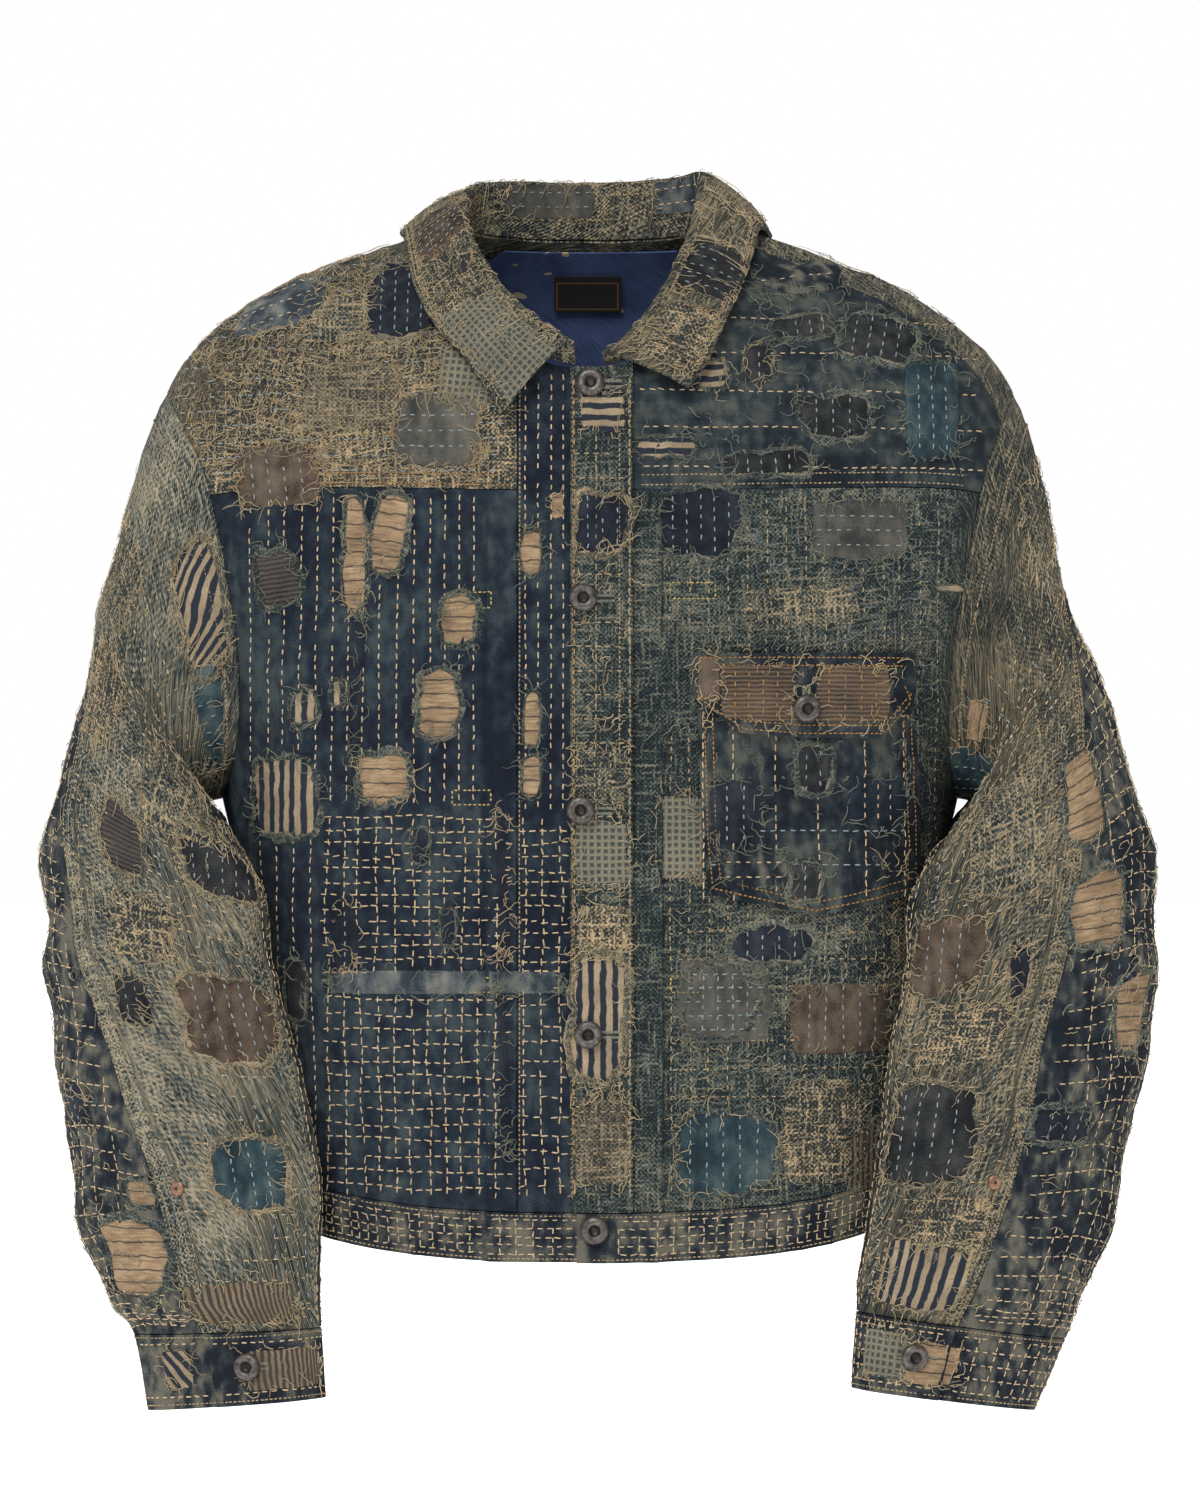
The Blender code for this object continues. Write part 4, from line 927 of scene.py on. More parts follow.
def front_body(side, finish, slot, side_rows=48, arm_rows=44, columns=55):
    turns = np.linspace(180, YOKE_ANGLE, arm_rows)
    arm_v, arm_angle = armhole(side, turns)
    side_v = np.linspace(BAND_TOP_V, UNDERARM_V, side_rows + 1)[:-1]
    quarter = math.pi / 2 if side == "L" else -math.pi / 2
    outer_v = np.concatenate([side_v, arm_v])
    outer_angle = np.concatenate([np.full(len(side_v), quarter), arm_angle])
    inner_v = np.linspace(BAND_TOP_V, FRONT_YOKE_V, len(outer_v))
    toward = math.copysign(1, FRONT_EDGE_X[side])
    edge_x, pleat_x = FRONT_EDGE_X[side], PLEAT_X[side]
    xs = np.append(np.linspace(edge_x, pleat_x - 0.002 * toward, 6), pleat_x - 0.0004 * toward)
    fixed = [angle_at(inner_v, x) for x in xs]
    start = angle_at(inner_v, pleat_x + 0.001 * toward)
    rest = start[:, None] + (quarter - start)[:, None] * np.linspace(0, 1, columns)
    angles = np.concatenate([np.stack(fixed, axis=1), rest], axis=1)
    share = (angles - angles[:, :1]) / (angles[:, -1:] - angles[:, :1])
    angles = angles + (outer_angle - quarter)[:, None] * share**EDGE_EASE
    rise = np.linspace(0, 1, len(outer_v))[:, None]
    seam_share = (angles[-1] - angles[-1, 0]) / (angles[-1, -1] - angles[-1, 0])
    v = BAND_TOP_V + (yoke_line(FRONT_YOKE_V, arm_v[-1], seam_share) - BAND_TOP_V) * rise
    spots = stack(v + (outer_v[:, None] - v[:, -1:]) * share**EDGE_EASE, angles)
    mitres = [(np.s_[len(side_v):, -1], armhole_mitre(side, turns))]
    torso_panel(f"front_body_{side}", spots, finish, slot, mitres=mitres)


def front_yoke(side, finish, slot, rows=30):
    turns = np.linspace(YOKE_ANGLE, SHOULDER_ANGLE, rows)
    right = stack(*armhole(side, turns))
    neck_angle = math.radians(NECK_SEAM_ANGLE) * math.copysign(1, FRONT_EDGE_X[side])
    neckline = np.linspace((1, angle_at(1.0, FRONT_EDGE_X[side])), (1, neck_angle), 18)
    top = np.concatenate([neckline, np.linspace((1, neck_angle), right[-1], 44)[1:]])
    left_v = np.linspace(FRONT_YOKE_V, 1, rows)
    left = stack(left_v, angle_at(left_v, FRONT_EDGE_X[side]))
    bottom = np.linspace(left[0], right[0], len(top))
    bottom[:, 0] = yoke_line(FRONT_YOKE_V, right[0, 0], np.linspace(0, 1, len(top)))
    spots = between(bottom, top, left, right)
    mitres = [(np.s_[:, -1], armhole_mitre(side, turns))]
    torso_panel(f"front_yoke_{side}", spots, finish, slot, mitres=mitres)


def placket(side, finish, slot):
    low_x, high_x = PLACKET_LEFT_X if side == "L" else PLACKET_RIGHT_X
    v = np.linspace(BAND_TOP_V, 0.995, 132)[:, None]
    spots = stack(v, angle_at(v, np.linspace(low_x, high_x, 11)))
    lift = LAP if side == "L" else 0.0
    gaps = "bt" if side == "L" else "btl"
    torso_panel(f"placket_{side}", spots, finish, slot, lift, gaps=gaps)


def band_lift(x):
    """The left end stands in front of the right one, and sinks back beyond it."""
    return (LAP + BAND_CLOTH - CLOTH) * np.clip((0.06 - x) / 0.03, 0, 1) * (x > -0.008 - 1e-6)


BAND_V = np.linspace(0, BAND_TOP_V, 9)[:, None]


def waistband(name, angles, gaps, lapping=False):
    spots = stack(BAND_V, angles)
    lift = band_lift(torso(spots[..., 0], spots[..., 1])[..., 0]) * lapping
    name = f"waistband_{name}"
    torso_panel(name, spots, "cross_indigo", "cross_stitched", lift, thickness=BAND_CLOTH, gaps=gaps)


def back_body(side_rows=41, arm_rows=39, columns=99):
    turns = np.linspace(-180, -YOKE_ANGLE, arm_rows)
    side_v = np.linspace(BAND_TOP_V, UNDERARM_V, side_rows + 1)[:-1]
    share = np.linspace(-1, 1, columns)[None, :]
    rise = np.linspace(0, 1, side_rows + arm_rows)[:, None]
    arm_v, arm_angle = armhole("L", turns)
    outer_v = np.concatenate([side_v, arm_v])[:, None]
    drawn_in = np.concatenate([np.zeros(len(side_v)), arm_angle - math.pi / 2])[:, None]
    ease = np.abs(share) ** EDGE_EASE
    angles = math.pi + share * math.pi / 2 - drawn_in * ease * np.sign(share)
    seam_share = (angles[-1] - math.pi) / (angles[-1, -1] - math.pi)
    v = BAND_TOP_V + (yoke_line(BACK_YOKE_V, arm_v[-1], seam_share) - BAND_TOP_V) * rise
    spots = stack(v + (outer_v - v[:, -1:]) * ease, angles)
    mitres = [
        (np.s_[side_rows:, 0], armhole_mitre("L", turns)),
        (np.s_[side_rows:, -1], armhole_mitre("R", turns)),
    ]
    torso_panel("back_body", spots, "yoke_indigo", "faded_indigo", mitres=mitres)


def back_yoke(rows=45):
    turns = np.linspace(-YOKE_ANGLE, SHOULDER_ANGLE, rows)
    left, right = (stack(*armhole(side, turns)) for side in SIDES)
    right[:, 1] += 2 * math.pi
    neck = math.radians(NECK_SEAM_ANGLE)
    start = np.linspace(left[-1], (1, neck), 42)
    neckline = np.linspace((1, neck), (1, 2 * math.pi - neck), 38)
    top = np.concatenate([start, neckline[1:], np.linspace((1, 2 * math.pi - neck), right[-1], 42)[1:]])
    bottom = np.linspace(left[0], right[0], len(top))
    bottom[:, 0] = yoke_line(BACK_YOKE_V, left[0, 0], np.linspace(-1, 1, len(top)))
    spots = between(bottom, top, left, right)
    mitres = [(np.s_[:, 0], armhole_mitre("L", turns)), (np.s_[:, -1], armhole_mitre("R", turns))]
    torso_panel("back_yoke", spots, "khaki_weave", "khaki_weave", mitres=mitres)


# %% Make the body panels
front_body("R", "front_indigo", "indigo")
front_body("L", "teal_weave", "khaki_weave")
front_yoke("R", "sand_weave", "khaki_weave")
front_yoke("L", "yoke_indigo", "faded_indigo")
placket("R", "front_indigo", "indigo")
placket("L", "teal_weave", "khaki_weave")
quarter, share = math.pi / 2, np.linspace(0, 1, 76)
start, end = angle_at(BAND_V, -0.008), angle_at(BAND_V, 0.018)
waistband("R", (end + quarter) * share - quarter, "tl")
waistband("L", start + (quarter - start) * share, "tr", lapping=True)
waistband("back", np.linspace(quarter, 3 * quarter, 110), "tlr")
back_body()
back_yoke()

# %% [markdown]
# ## Sleeves, cuffs and collar
# Each sleeve is two panels, and their seam spirals from the armhole to the vent above the cuff. The
# cuff is one band that laps over itself. The collar is a single wall that stands up from the neck,
# rolls over and falls: its rows are the seam, the crest and three steps down the fall.

# %% Sleeves and cuffs
def sleeve_panel(side, piece, finish, slot, stands_for=(), rows=108):
    """The upper piece runs over the front to the inner edge, the under piece behind."""
    rings = np.linspace(0, CUFF_TOP_RING, rows)
    seam = seam_turn(side, rings)[:, None]
    end = 180.0 if piece == "upper" else -180.0
    turns = np.linspace(SLEEVE_SEAM_START, end, 50)
    share = (turns - SLEEVE_SEAM_START) / (end - SLEEVE_SEAM_START)
    points, normals = sleeve_skin(side, rings[:, None], seam + (end - seam) * share[None, :])
    normals[0] = armhole_mitre(side, turns)
    name = f"sleeve_{piece}_{side}"
    wall(name, (points, normals), finish, slot, wide="r", stands_for=stands_for)


def cuff_lift(past_end):
    """The lapping end stands in front by LAP, and sinks back within a quarter turn."""
    return (LAP + BAND_CLOTH - CLOTH) * np.clip((70 - past_end) / 30, 0, 1)


def cuff(side, finish):
    past_end = np.linspace(0, 360 + CUFF_LAP, 100)[None, :]
    rings = np.linspace(CUFF_TOP_RING, CUFF_END_RING, 13)[:, None]
    skin_grid = sleeve_skin(side, rings, CUFF_END_ANGLE[side] + past_end, cuff_lift(past_end))
    wall(f"cuff_{side}", skin_grid, finish, "cross_stitched", thickness=BAND_CLOTH, gaps="b")


for side in SIDES:
    fore = (f"sleeve_upper_{side}", f"sleeve_fore_{side}")
    sleeve_panel(side, "upper", "sleeve_weave" if side == "R" else "khaki_weave", "khaki_weave", fore)
    both = (f"sleeve_under_{side}", f"sleeve_lower_{side}")
    sleeve_panel(side, "under", "cross_indigo", "cross_stitched", both)
    cuff(side, "cross_indigo")


# %% Collar
def resample(grid, *counts):
    """A finer grid: smooth curves through the rows, then through the columns."""
    for count in counts:
        knots, places = np.arange(len(grid), dtype=float), np.linspace(0, len(grid) - 1, count)
        fine = along(places, knots, grid.reshape(len(grid), -1)).reshape(count, -1, 3)
        grid = fine.swapaxes(0, 1)
    return np.ascontiguousarray(grid)


def collar_grid(rows=36, columns=190):
    """(points, normals): row 0 is the edge and the last row the seam at the neck."""
    knots = np.arange(len(COLLAR["seam_angle"]), dtype=float)
    spots = np.linspace(0, knots[-1], 29)
    seam_angle, roll_x, roll_y, roll_z, edge_v, edge_angle = (
        along(spots, knots, COLLAR[name]) for name in COLLAR
    )
    seam_angle, edge_angle = np.radians(seam_angle), np.radians(edge_angle)
    seam = torso(np.full_like(spots, 1.0), seam_angle)
    seam = seam + unit(seam - torso(np.full_like(spots, 0.995), seam_angle)) * 0.0012
    roll = stack(roll_x, roll_y, roll_z)
    edge, edge_normal = skin(edge_v, edge_angle, 0.0075)
    away = unit((edge - roll) * np.array([1, 1, 0.25]))
    over = roll + away * 0.008
    crest = (roll + over) / 2 + np.array([0, 0, 0.0022])
    fall_out = unit(edge_normal + away * 0.5)
    falls = []
    for f in (0.0, 0.3, 0.65, 1.0):
        point = over + (edge - over) * f + fall_out * 0.0035 * 4 * f * (1 - f)
        under, normal = skin(1 + (edge_v - 1) * f, seam_angle + (edge_angle - seam_angle) * f)
        height = ((point - under) * normal).sum(axis=-1, keepdims=True)
        falls.append(point + normal * np.maximum(0.0078 - height, 0))
    coarse = np.stack([seam, (seam + roll) / 2, roll, crest, *falls])[::-1]
    points = resample(coarse, rows, columns)
    up, across = np.gradient(points, axis=0), np.gradient(points, axis=1)
    normals = unit(np.cross(up, across))
    points = points + normals * (creases(points, 0.0008, 0.0012, 0.0004) * 0.8)[..., None]
    return points, normals


COLLAR_SKIN = collar_grid()
wall("collar", COLLAR_SKIN, "khaki_weave", "khaki_weave", thickness=BAND_CLOTH, gaps="")

# %% [markdown]
# ## Pocket, flap, lining and label
# The pocket and its flap are outlines seen from the front, laid on the torso with a lift. The lining
# is built only where it can be seen, inside the back of the neck.

# %% Pocket, flap, lining and label
POCKET = table("""
z x_left x_right
-305 66.5 201
-340 68 204
-390 70 205
-423 73 204
""", 1000)
FLAP = table("""
x z_top z_bottom
63 -274.5 -300
67 -274.5 -305
95 -274.5 -324
133 -274 -326.5
179 -273 -326
196 -273 -308
200 -273 -300
""", 1000)
POCKET_BUTTON = (0.133, -0.3085)
BUTTON_ZS = (-0.107, -0.24, -0.3715, -0.51, -0.631)
BUTTON_XS = (0.0005, -0.004, -0.0055, -0.001, 0.003)


def pocket():
    z_rows = np.linspace(POCKET["z"][-1], POCKET["z"][0], 36)
    knots = POCKET["z"][::-1]
    left, right = (along(z_rows, knots, POCKET[name][::-1]) for name in ("x_left", "x_right"))
    share = np.linspace(0, 1, 40)
    x = left[:, None] + (right - left)[:, None] * share
    low = np.clip(1 - np.linspace(0, 1, 36) * 2.5, 0, 1)[:, None]
    z = z_rows[:, None] - low * 0.014 * (1 - np.abs(2 * share - 1))
    torso_panel("pocket_L", stack(*spot_at(x, z)), "pocket_indigo", "indigo", POCKET_LIFT, gaps="")


def pocket_flap():
    columns = np.linspace(FLAP["x"][0], FLAP["x"][-1], 42)
    top, bottom = (np.interp(columns, FLAP["x"], FLAP[name]) for name in ("z_top", "z_bottom"))
    z = bottom + (top - bottom) * np.linspace(0, 1, 16)[:, None]
    spots = stack(*spot_at(np.broadcast_to(columns, z.shape), z))
    torso_panel("pocket_flap_L", spots, "pocket_indigo", "khaki_weave", FLAP_LIFT, gaps="")


pocket()
pocket_flap()
lining_spots = stack(np.linspace(0.62, 0.992, 30)[:, None], np.radians(np.linspace(148.0, 212.0, 44)))
torso_panel("yoke_lining", lining_spots, "spotted_lining", "lining_blue", -CLOTH - 0.0018,
            folded=False, thickness=0.0012, gaps="")
label_x, label_z = np.meshgrid(np.linspace(*LABEL_X[::-1], 16), np.linspace(*LABEL_Z, 10))
label_spots = stack(*spot_at(label_x, label_z, behind=True))
torso_panel("neck_label", label_spots, "blank_label", "label_black",
            -CLOTH - 0.0018 - 0.0012 - 0.0015, folded=False, thickness=0.0008, gaps="")
# %% [markdown]
# ## Places to sew
# Patches, stitches and loose threads are given as a spot on some part of the jacket and a distance
# along it. A ground turns a spot into a point on the cloth and its normal. On the body a spot is x and
# z, read straight through from the front or the back; on a sleeve it is the turn round it and the ring
# down it; on the collar the column along it and the row up it.

# %% Grounds
class Ground:
    """A surface to sew on: at(a, b, lift) gives points and normals. Distances across and up it are
    divided by its pace, the metres that one unit of a and of b covers there."""

    def __init__(self, at, bare=None, signs=(1, 1), steps=(0.5, 0.05), outside=None):
        self.at, self.bare, self.signs, self.steps = at, bare, signs, steps
        self.outside, self.patches = outside, []

    def has(self, a, b):
        """Whether there is cloth at each spot: none inside an armhole."""
        return np.ones(np.shape(a), bool) if self.outside is None else ~self.outside(a, b)

    def pace(self, a, b):
        if self.bare is None:
            return np.ones_like(a) * self.signs[0], np.ones_like(b) * self.signs[1]
        one, two = self.steps
        pace_a = norm(self.bare(a + one, b) - self.bare(a - one, b)) / (2 * one)
        pace_b = norm(self.bare(a, b + two) - self.bare(a, b - two)) / (2 * two)
        return np.maximum(pace_a, 8e-4) * self.signs[0], np.maximum(pace_b, 8e-4) * self.signs[1]

    def pace_at(self, a, b):
        return [float(pace[0]) for pace in self.pace(np.array([a]), np.array([b]))]

    def covered(self, a, b, margin):
        """Whether each spot lies inside one of this ground's patches."""
        inside = np.zeros(a.shape, bool)
        for a0, b0, pace_a, pace_b, half_width, half_height, turn, _ in self.patches:
            across, up = (a - a0) * pace_a, (b - b0) * pace_b
            c, s = math.cos(turn), math.sin(turn)
            first = np.abs(across * c + up * s) / (half_width * margin)
            second = np.abs(up * c - across * s) / (half_height * margin)
            inside |= first**2.4 + second**2.4 < 1
        return inside


def on_torso(spot, base=lambda v, angle: 0.0, **options):
    """A ground whose spots become (v, angle), and whose cloth stands out by the base."""
    def at(a, b, lift):
        v, angle = spot(a, b)
        return skin(v, angle, lift + base(v, angle))

    return Ground(at, outside=lambda a, b: armhole_ease(*spot(a, b)) < 0.02, **options)


def on_body(base=0.0, behind=False):
    """Spots given as x and z, read straight through from the front or the back."""
    signs = (-1 if behind else 1, 1)
    return on_torso(lambda x, z: spot_at(x, z, behind), lambda v, angle: base, signs=signs)


def round_body(**options):
    """Spots given as the angle round the torso, in degrees, and the height v."""
    bare = lambda degrees, v: torso(v, np.radians(degrees))
    return on_torso(lambda degrees, v: (v, np.radians(degrees)), bare=bare, steps=(0.5, 0.004), **options)


def on_sleeve(side):
    def at(turn, ring, lift):
        on_cuff = ring > CUFF_TOP_RING
        lap = cuff_lift((turn - CUFF_END_ANGLE[side]) % 360) * on_cuff
        return sleeve_skin(side, ring, turn, lift + lap)

    def bare(turn, ring):
        return sleeve_base(side, ring, turn)

    return Ground(at, bare, signs=(-1 if side == "L" else 1, -1))


def on_collar():
    joined = np.concatenate(COLLAR_SKIN, axis=-1)
    rows, columns = joined.shape[:2]

    def at(column, row, lift):
        """Columns 0 to 19 from right front to left; row 0 is the edge, 1 the seam."""
        i = np.clip(np.asarray(row) * (rows - 1), 0, rows - 1.001)
        j = np.clip(np.asarray(column) / 19 * (columns - 1), 0, columns - 1.001)
        i0, j0 = np.floor(i).astype(int), np.floor(j).astype(int)
        f, g = (i - i0)[..., None], (j - j0)[..., None]
        mixed = (joined[i0, j0] * (1 - f) * (1 - g) + joined[i0 + 1, j0] * f * (1 - g)
                 + joined[i0, j0 + 1] * (1 - f) * g + joined[i0 + 1, j0 + 1] * f * g)
        normals = unit(mixed[..., 3:])
        return mixed[..., :3] + normals * np.asarray(lift)[..., None], normals

    def outside(column, row):
        return (column < 0.12) | (column > 18.88) | (row < 0.02) | (row > 0.97)

    return Ground(at, lambda a, b: at(a, b, 0.0)[0], steps=(0.1, 0.02), outside=outside)


GROUNDS = {
    "front_body_R": on_body(),
    "front_body_L": on_body(),
    "front_yoke_R": on_body(),
    "front_yoke_L": on_body(),
    "placket_L": on_body(LAP),
    "placket_R": on_body(),
    "pocket_L": on_body(POCKET_LIFT),
    "pocket_flap_L": on_body(FLAP_LIFT),
    "back_body": on_body(behind=True),
    "back_yoke": on_body(behind=True),
    "waistband_R": round_body(),
    "waistband_L": round_body(base=lambda v, angle: band_lift(torso(v, angle)[..., 0])),
    "waistband_back": round_body(),
    "collar": on_collar(),
}
for side in SIDES:
    for panel in ("sleeve_upper", "sleeve_under", "cuff"):
        GROUNDS[f"{panel}_{side}"] = on_sleeve(side)


class Pile:
    """Small meshes gathered up to become one piece, each with its own finish."""

    def __init__(self, name):
        self.name, self.count = name, 0
        self.points, self.faces, self.uvs, self.slots, self.finishes = [], [], [], [], []

    def add(self, points, blocks, finish, uv=None):
        points = points.reshape(-1, 3)
        if finish not in self.finishes:
            self.finishes.append(finish)
        for block in blocks:
            self.faces.append(block + self.count)
            self.slots.append(np.full(len(block), self.finishes.index(finish)))
        self.points.append(points)
        self.uvs.append(np.zeros((len(points), 2)) if uv is None else uv.reshape(-1, 2))
        self.count += len(points)

    def make(self):
        points, uv, slots = (np.concatenate(rows) for rows in (self.points, self.uvs, self.slots))
        return new_piece(self.name, points, self.faces, self.finishes, uv, slots, 60)


PATCHES, THREADS, STITCHES = ({name: Pile(kind + name) for name in GROUNDS}
                              for kind in ("patches_", "threads_", "stitches_"))

# %% [markdown]
# ## Patches and torn openings
# Some patches are sewn on top. Others sit under a hole whose edge has curled up and frayed. Cutting
# real holes with a Boolean would tear the mesh apart, so a torn opening is the rag, lifted a hair's
# breadth, inside a ragged lip of the upper cloth: a small tube bent round the opening's outline.

# %% Outlines and surfaces of patches
def ragged_square(s, t, width, height, roundness, ragged, seed):
    """A square from -1 to 1 eased towards a disc, its edge pushed in and out by noise."""
    disc_s, disc_t = s * np.sqrt(1 - t**2 / 2), t * np.sqrt(1 - s**2 / 2)
    x, y = s + (disc_s - s) * roundness, t + (disc_t - t) * roundness
    bearing = np.arctan2(y * height, x * width)
    ring = stack(np.cos(bearing), np.sin(bearing), np.full_like(s, seed * 0.37))
    wave = rumple(ring, 0.95, seed) * 1.5 + rumple(ring, 0.38, seed + 1) * 0.7
    wave = wave + rumple(ring, 0.12, seed) * 0.35
    push = 1 + ragged * wave * np.maximum(np.abs(s), np.abs(t)) ** 2
    lean = 0.16 * (seed % 5 - 2) / 2 * ragged / 0.12
    return (x * push + lean * y * roundness) * width / 2, y * push * height / 2


def laid_out(ground, a, b, across, up, turn):
    """Spots at these distances across and up from (a, b), the whole turned."""
    pace_a, pace_b = ground.pace_at(a, b)
    c, s = math.cos(turn), math.sin(turn)
    return a + (across * c - up * s) / pace_a, b + (across * s + up * c) / pace_b


TEAL_EDGED = ("front_body_R", "front_body_L", "placket_R", "front_yoke_L", "pocket_L", "back_body",
              "sleeve_under_L", "sleeve_under_R")


def patch(where, a, b, width, height, finish, kind, turn=0.0, roundness=None, ragged=None, threads=1.0):
    """A rag at (a, b) on a ground: over, sewn on top, or under, seen through a hole."""
    ground, fray = GROUNDS[where], "teal_fray" if where in TEAL_EDGED else "fray"
    roundness = roundness or {"over": 0.22, "under": 0.55}[kind]
    ragged = ragged or {"over": 0.06, "under": 0.13}[kind]
    seed = len(ground.patches) + 1 + sum(map(ord, where)) % 17
    turn = math.radians(turn)
    columns, rows = (int(np.clip(size / 0.0038, 6, 36)) for size in (width, height))
    s, t = np.meshgrid(np.linspace(-1, 1, columns), np.linspace(-1, 1, rows))
    shape = (width, height, roundness, ragged, seed)
    across, up = ragged_square(s, t, *shape)
    rise = 0.0007 if kind == "over" else 0.0005
    rise = rise + 0.0002 * rumple(stack(across, up, across * 0 + seed), 0.006, seed)
    rise = rise - 0.0004 * np.maximum(np.abs(s), np.abs(t)) ** 8
    points, normals = ground.at(*laid_out(ground, a, b, across, up, turn), rise)
    uv = stack(across + 0.013 * seed, up + 0.029 * seed)
    points, faces, uv = wall_arrays(points, normals, 0.0012, uv=uv)
    PATCHES[where].add(points, [faces], finish, uv)
    ground.patches.append((a, b, *ground.pace_at(a, b), width / 2, height / 2, turn, finish))
    if kind == "under":
        lip(where, a, b, turn, shape, fray)
    if threads:
        fray_out(where, a, b, turn, shape, fray, threads)


def outline(shape, count):
    """Points round a patch's edge, and the direction outwards at each."""
    corner = np.array([[-1, -1], [1, -1], [1, 1], [-1, 1], [-1, -1]], float)
    runs = np.linspace(0, 4, count, endpoint=False)
    s, t = (np.interp(runs, np.arange(5), corner[:, k]) for k in (0, 1))
    edge = stack(*ragged_square(s, t, *shape))
    along_it = np.roll(edge, -1, axis=0) - np.roll(edge, 1, axis=0)
    outwards = stack(along_it[:, 1], -along_it[:, 0])
    outwards = outwards + 0.6 * norm(along_it, True) * unit(edge)
    return edge, unit(outwards)


LIP_PROFILE = np.array([(0.0034, -0.0004), (0.002, 0.0004), (0.0004, 0.001), (-0.0007, 0.0011),
                        (-0.0014, 0.0006), (-0.0008, -0.0003)])


def lip(where, a, b, turn, shape, finish):
    """The torn edge: a flat tube with this profile (outwards, upwards)."""
    width, height, _, _, seed = shape
    count = int(np.clip((width + height) * 2 / 0.003, 16, 130))
    edge, outwards = outline(shape, count)
    ring = stack(edge[:, 0], edge[:, 1], np.full(count, seed * 0.01))
    wave = (1 + 0.6 * rumple(ring, 0.004, seed) + 0.4 * rumple(ring, 0.013, seed + 5))[:, None]
    small = np.clip(min(width, height) / 0.022, 0.45, 1.0)
    wide = LIP_PROFILE[None, :, 0] * wave * small + 0.0012 * rumple(ring, 0.007, seed + 3)[:, None] * small
    spots = edge[:, None] + outwards[:, None] * wide[..., None]
    rise = LIP_PROFILE[None, :, 1] * (0.75 + 0.25 * wave) * np.sqrt(small)
    ground = GROUNDS[where]
    points, _ = ground.at(*laid_out(ground, a, b, spots[..., 0], spots[..., 1], turn), rise)
    index = np.arange(count * len(LIP_PROFILE)).reshape(count, -1)
    next_one, next_ring = np.roll(index, -1, axis=1), np.roll(index, -1, axis=0)
    faces = stack(index, next_ring, np.roll(next_ring, -1, axis=1), next_one).reshape(-1, 4)
    faces = outward(points, faces)
    distance = np.arange(count)[:, None] * 0.0024 + np.zeros(len(LIP_PROFILE))
    uv = stack(distance, np.broadcast_to(LIP_PROFILE[:, 0], distance.shape))
    PATCHES[where].add(points, [faces], finish, uv)


def outward(points, faces):
    """The faces of a closed mesh, turned round if its volume is negative."""
    a, b, c, d = (points.reshape(-1, 3)[faces[:, k]] for k in range(4))
    middle = points.reshape(-1, 3).mean(axis=0)
    volume = ((a - middle) * np.cross(b - middle, c - middle)).sum()
    volume += ((a - middle) * np.cross(c - middle, d - middle)).sum()
    return faces if volume > 0 else faces[:, ::-1]


# %% [markdown]
# ## Stitches and loose threads
# A running stitch is a short bead of thread that dips into the cloth at both ends: two rings of three
# points, and a point at each end below the surface. A loose thread is a three-sided tube along a path
# whose heading wanders, as a kinked thread's does.

# %% Stitches
def stitch_beads(where, spots, ways, length, width, finish, lift=0.0, seed=1):
    """Beads at these spots: ways are unit directions (across, up) on the ground."""
    ground = GROUNDS[where]
    rng = np.random.default_rng(seed)
    a, b = spots[:, 0], spots[:, 1]
    pace_a, pace_b = ground.pace(a, b)
    half = length / 2 * rng.uniform(0.85, 1.15, len(a))
    twist = rng.normal(0, 0.1, len(a))
    c, s = np.cos(twist), np.sin(twist)
    across, up = ways[:, 0] * c - ways[:, 1] * s, ways[:, 0] * s + ways[:, 1] * c
    stations = np.array([-1.0, -0.62, 0.62, 1.0])
    run = half[:, None] * stations
    rise = np.array([-0.0004, 0.00025, 0.00025, -0.0004]) + lift
    points, normals = ground.at(
        a[:, None] + across[:, None] * run / pace_a[:, None],
        b[:, None] + up[:, None] * run / pace_b[:, None],
        np.broadcast_to(rise, run.shape),
    )
    forward = unit(points[:, 2] - points[:, 1])[:, None]
    beside = unit(np.cross(forward, normals))
    w = width / 2 * rng.uniform(0.85, 1.15, len(a))[:, None, None]
    middle, normal, side = points[:, 1:3], normals[:, 1:3], beside[:, 1:3]
    ring = np.stack([middle - side * w, middle + normal * w * 0.95, middle + side * w], axis=2)
    count = len(a)
    bead = np.concatenate([points[:, :1], ring.reshape(count, 6, 3), points[:, 3:]], axis=1)
    tips = [(0, 1 + (k + 1) % 3, 1 + k) for k in range(3)]
    tips += [(7, 4 + k, 4 + (k + 1) % 3) for k in range(3)]
    walls = [(1 + k, 1 + (k + 1) % 3, 4 + (k + 1) % 3, 4 + k) for k in range(3)]
    offset = np.arange(count)[:, None, None] * 8
    triangles, quads = (np.array(rows)[None] + offset for rows in (tips, walls))
    STITCHES[where].add(bead, [triangles.reshape(-1, 3), quads.reshape(-1, 4)], finish)


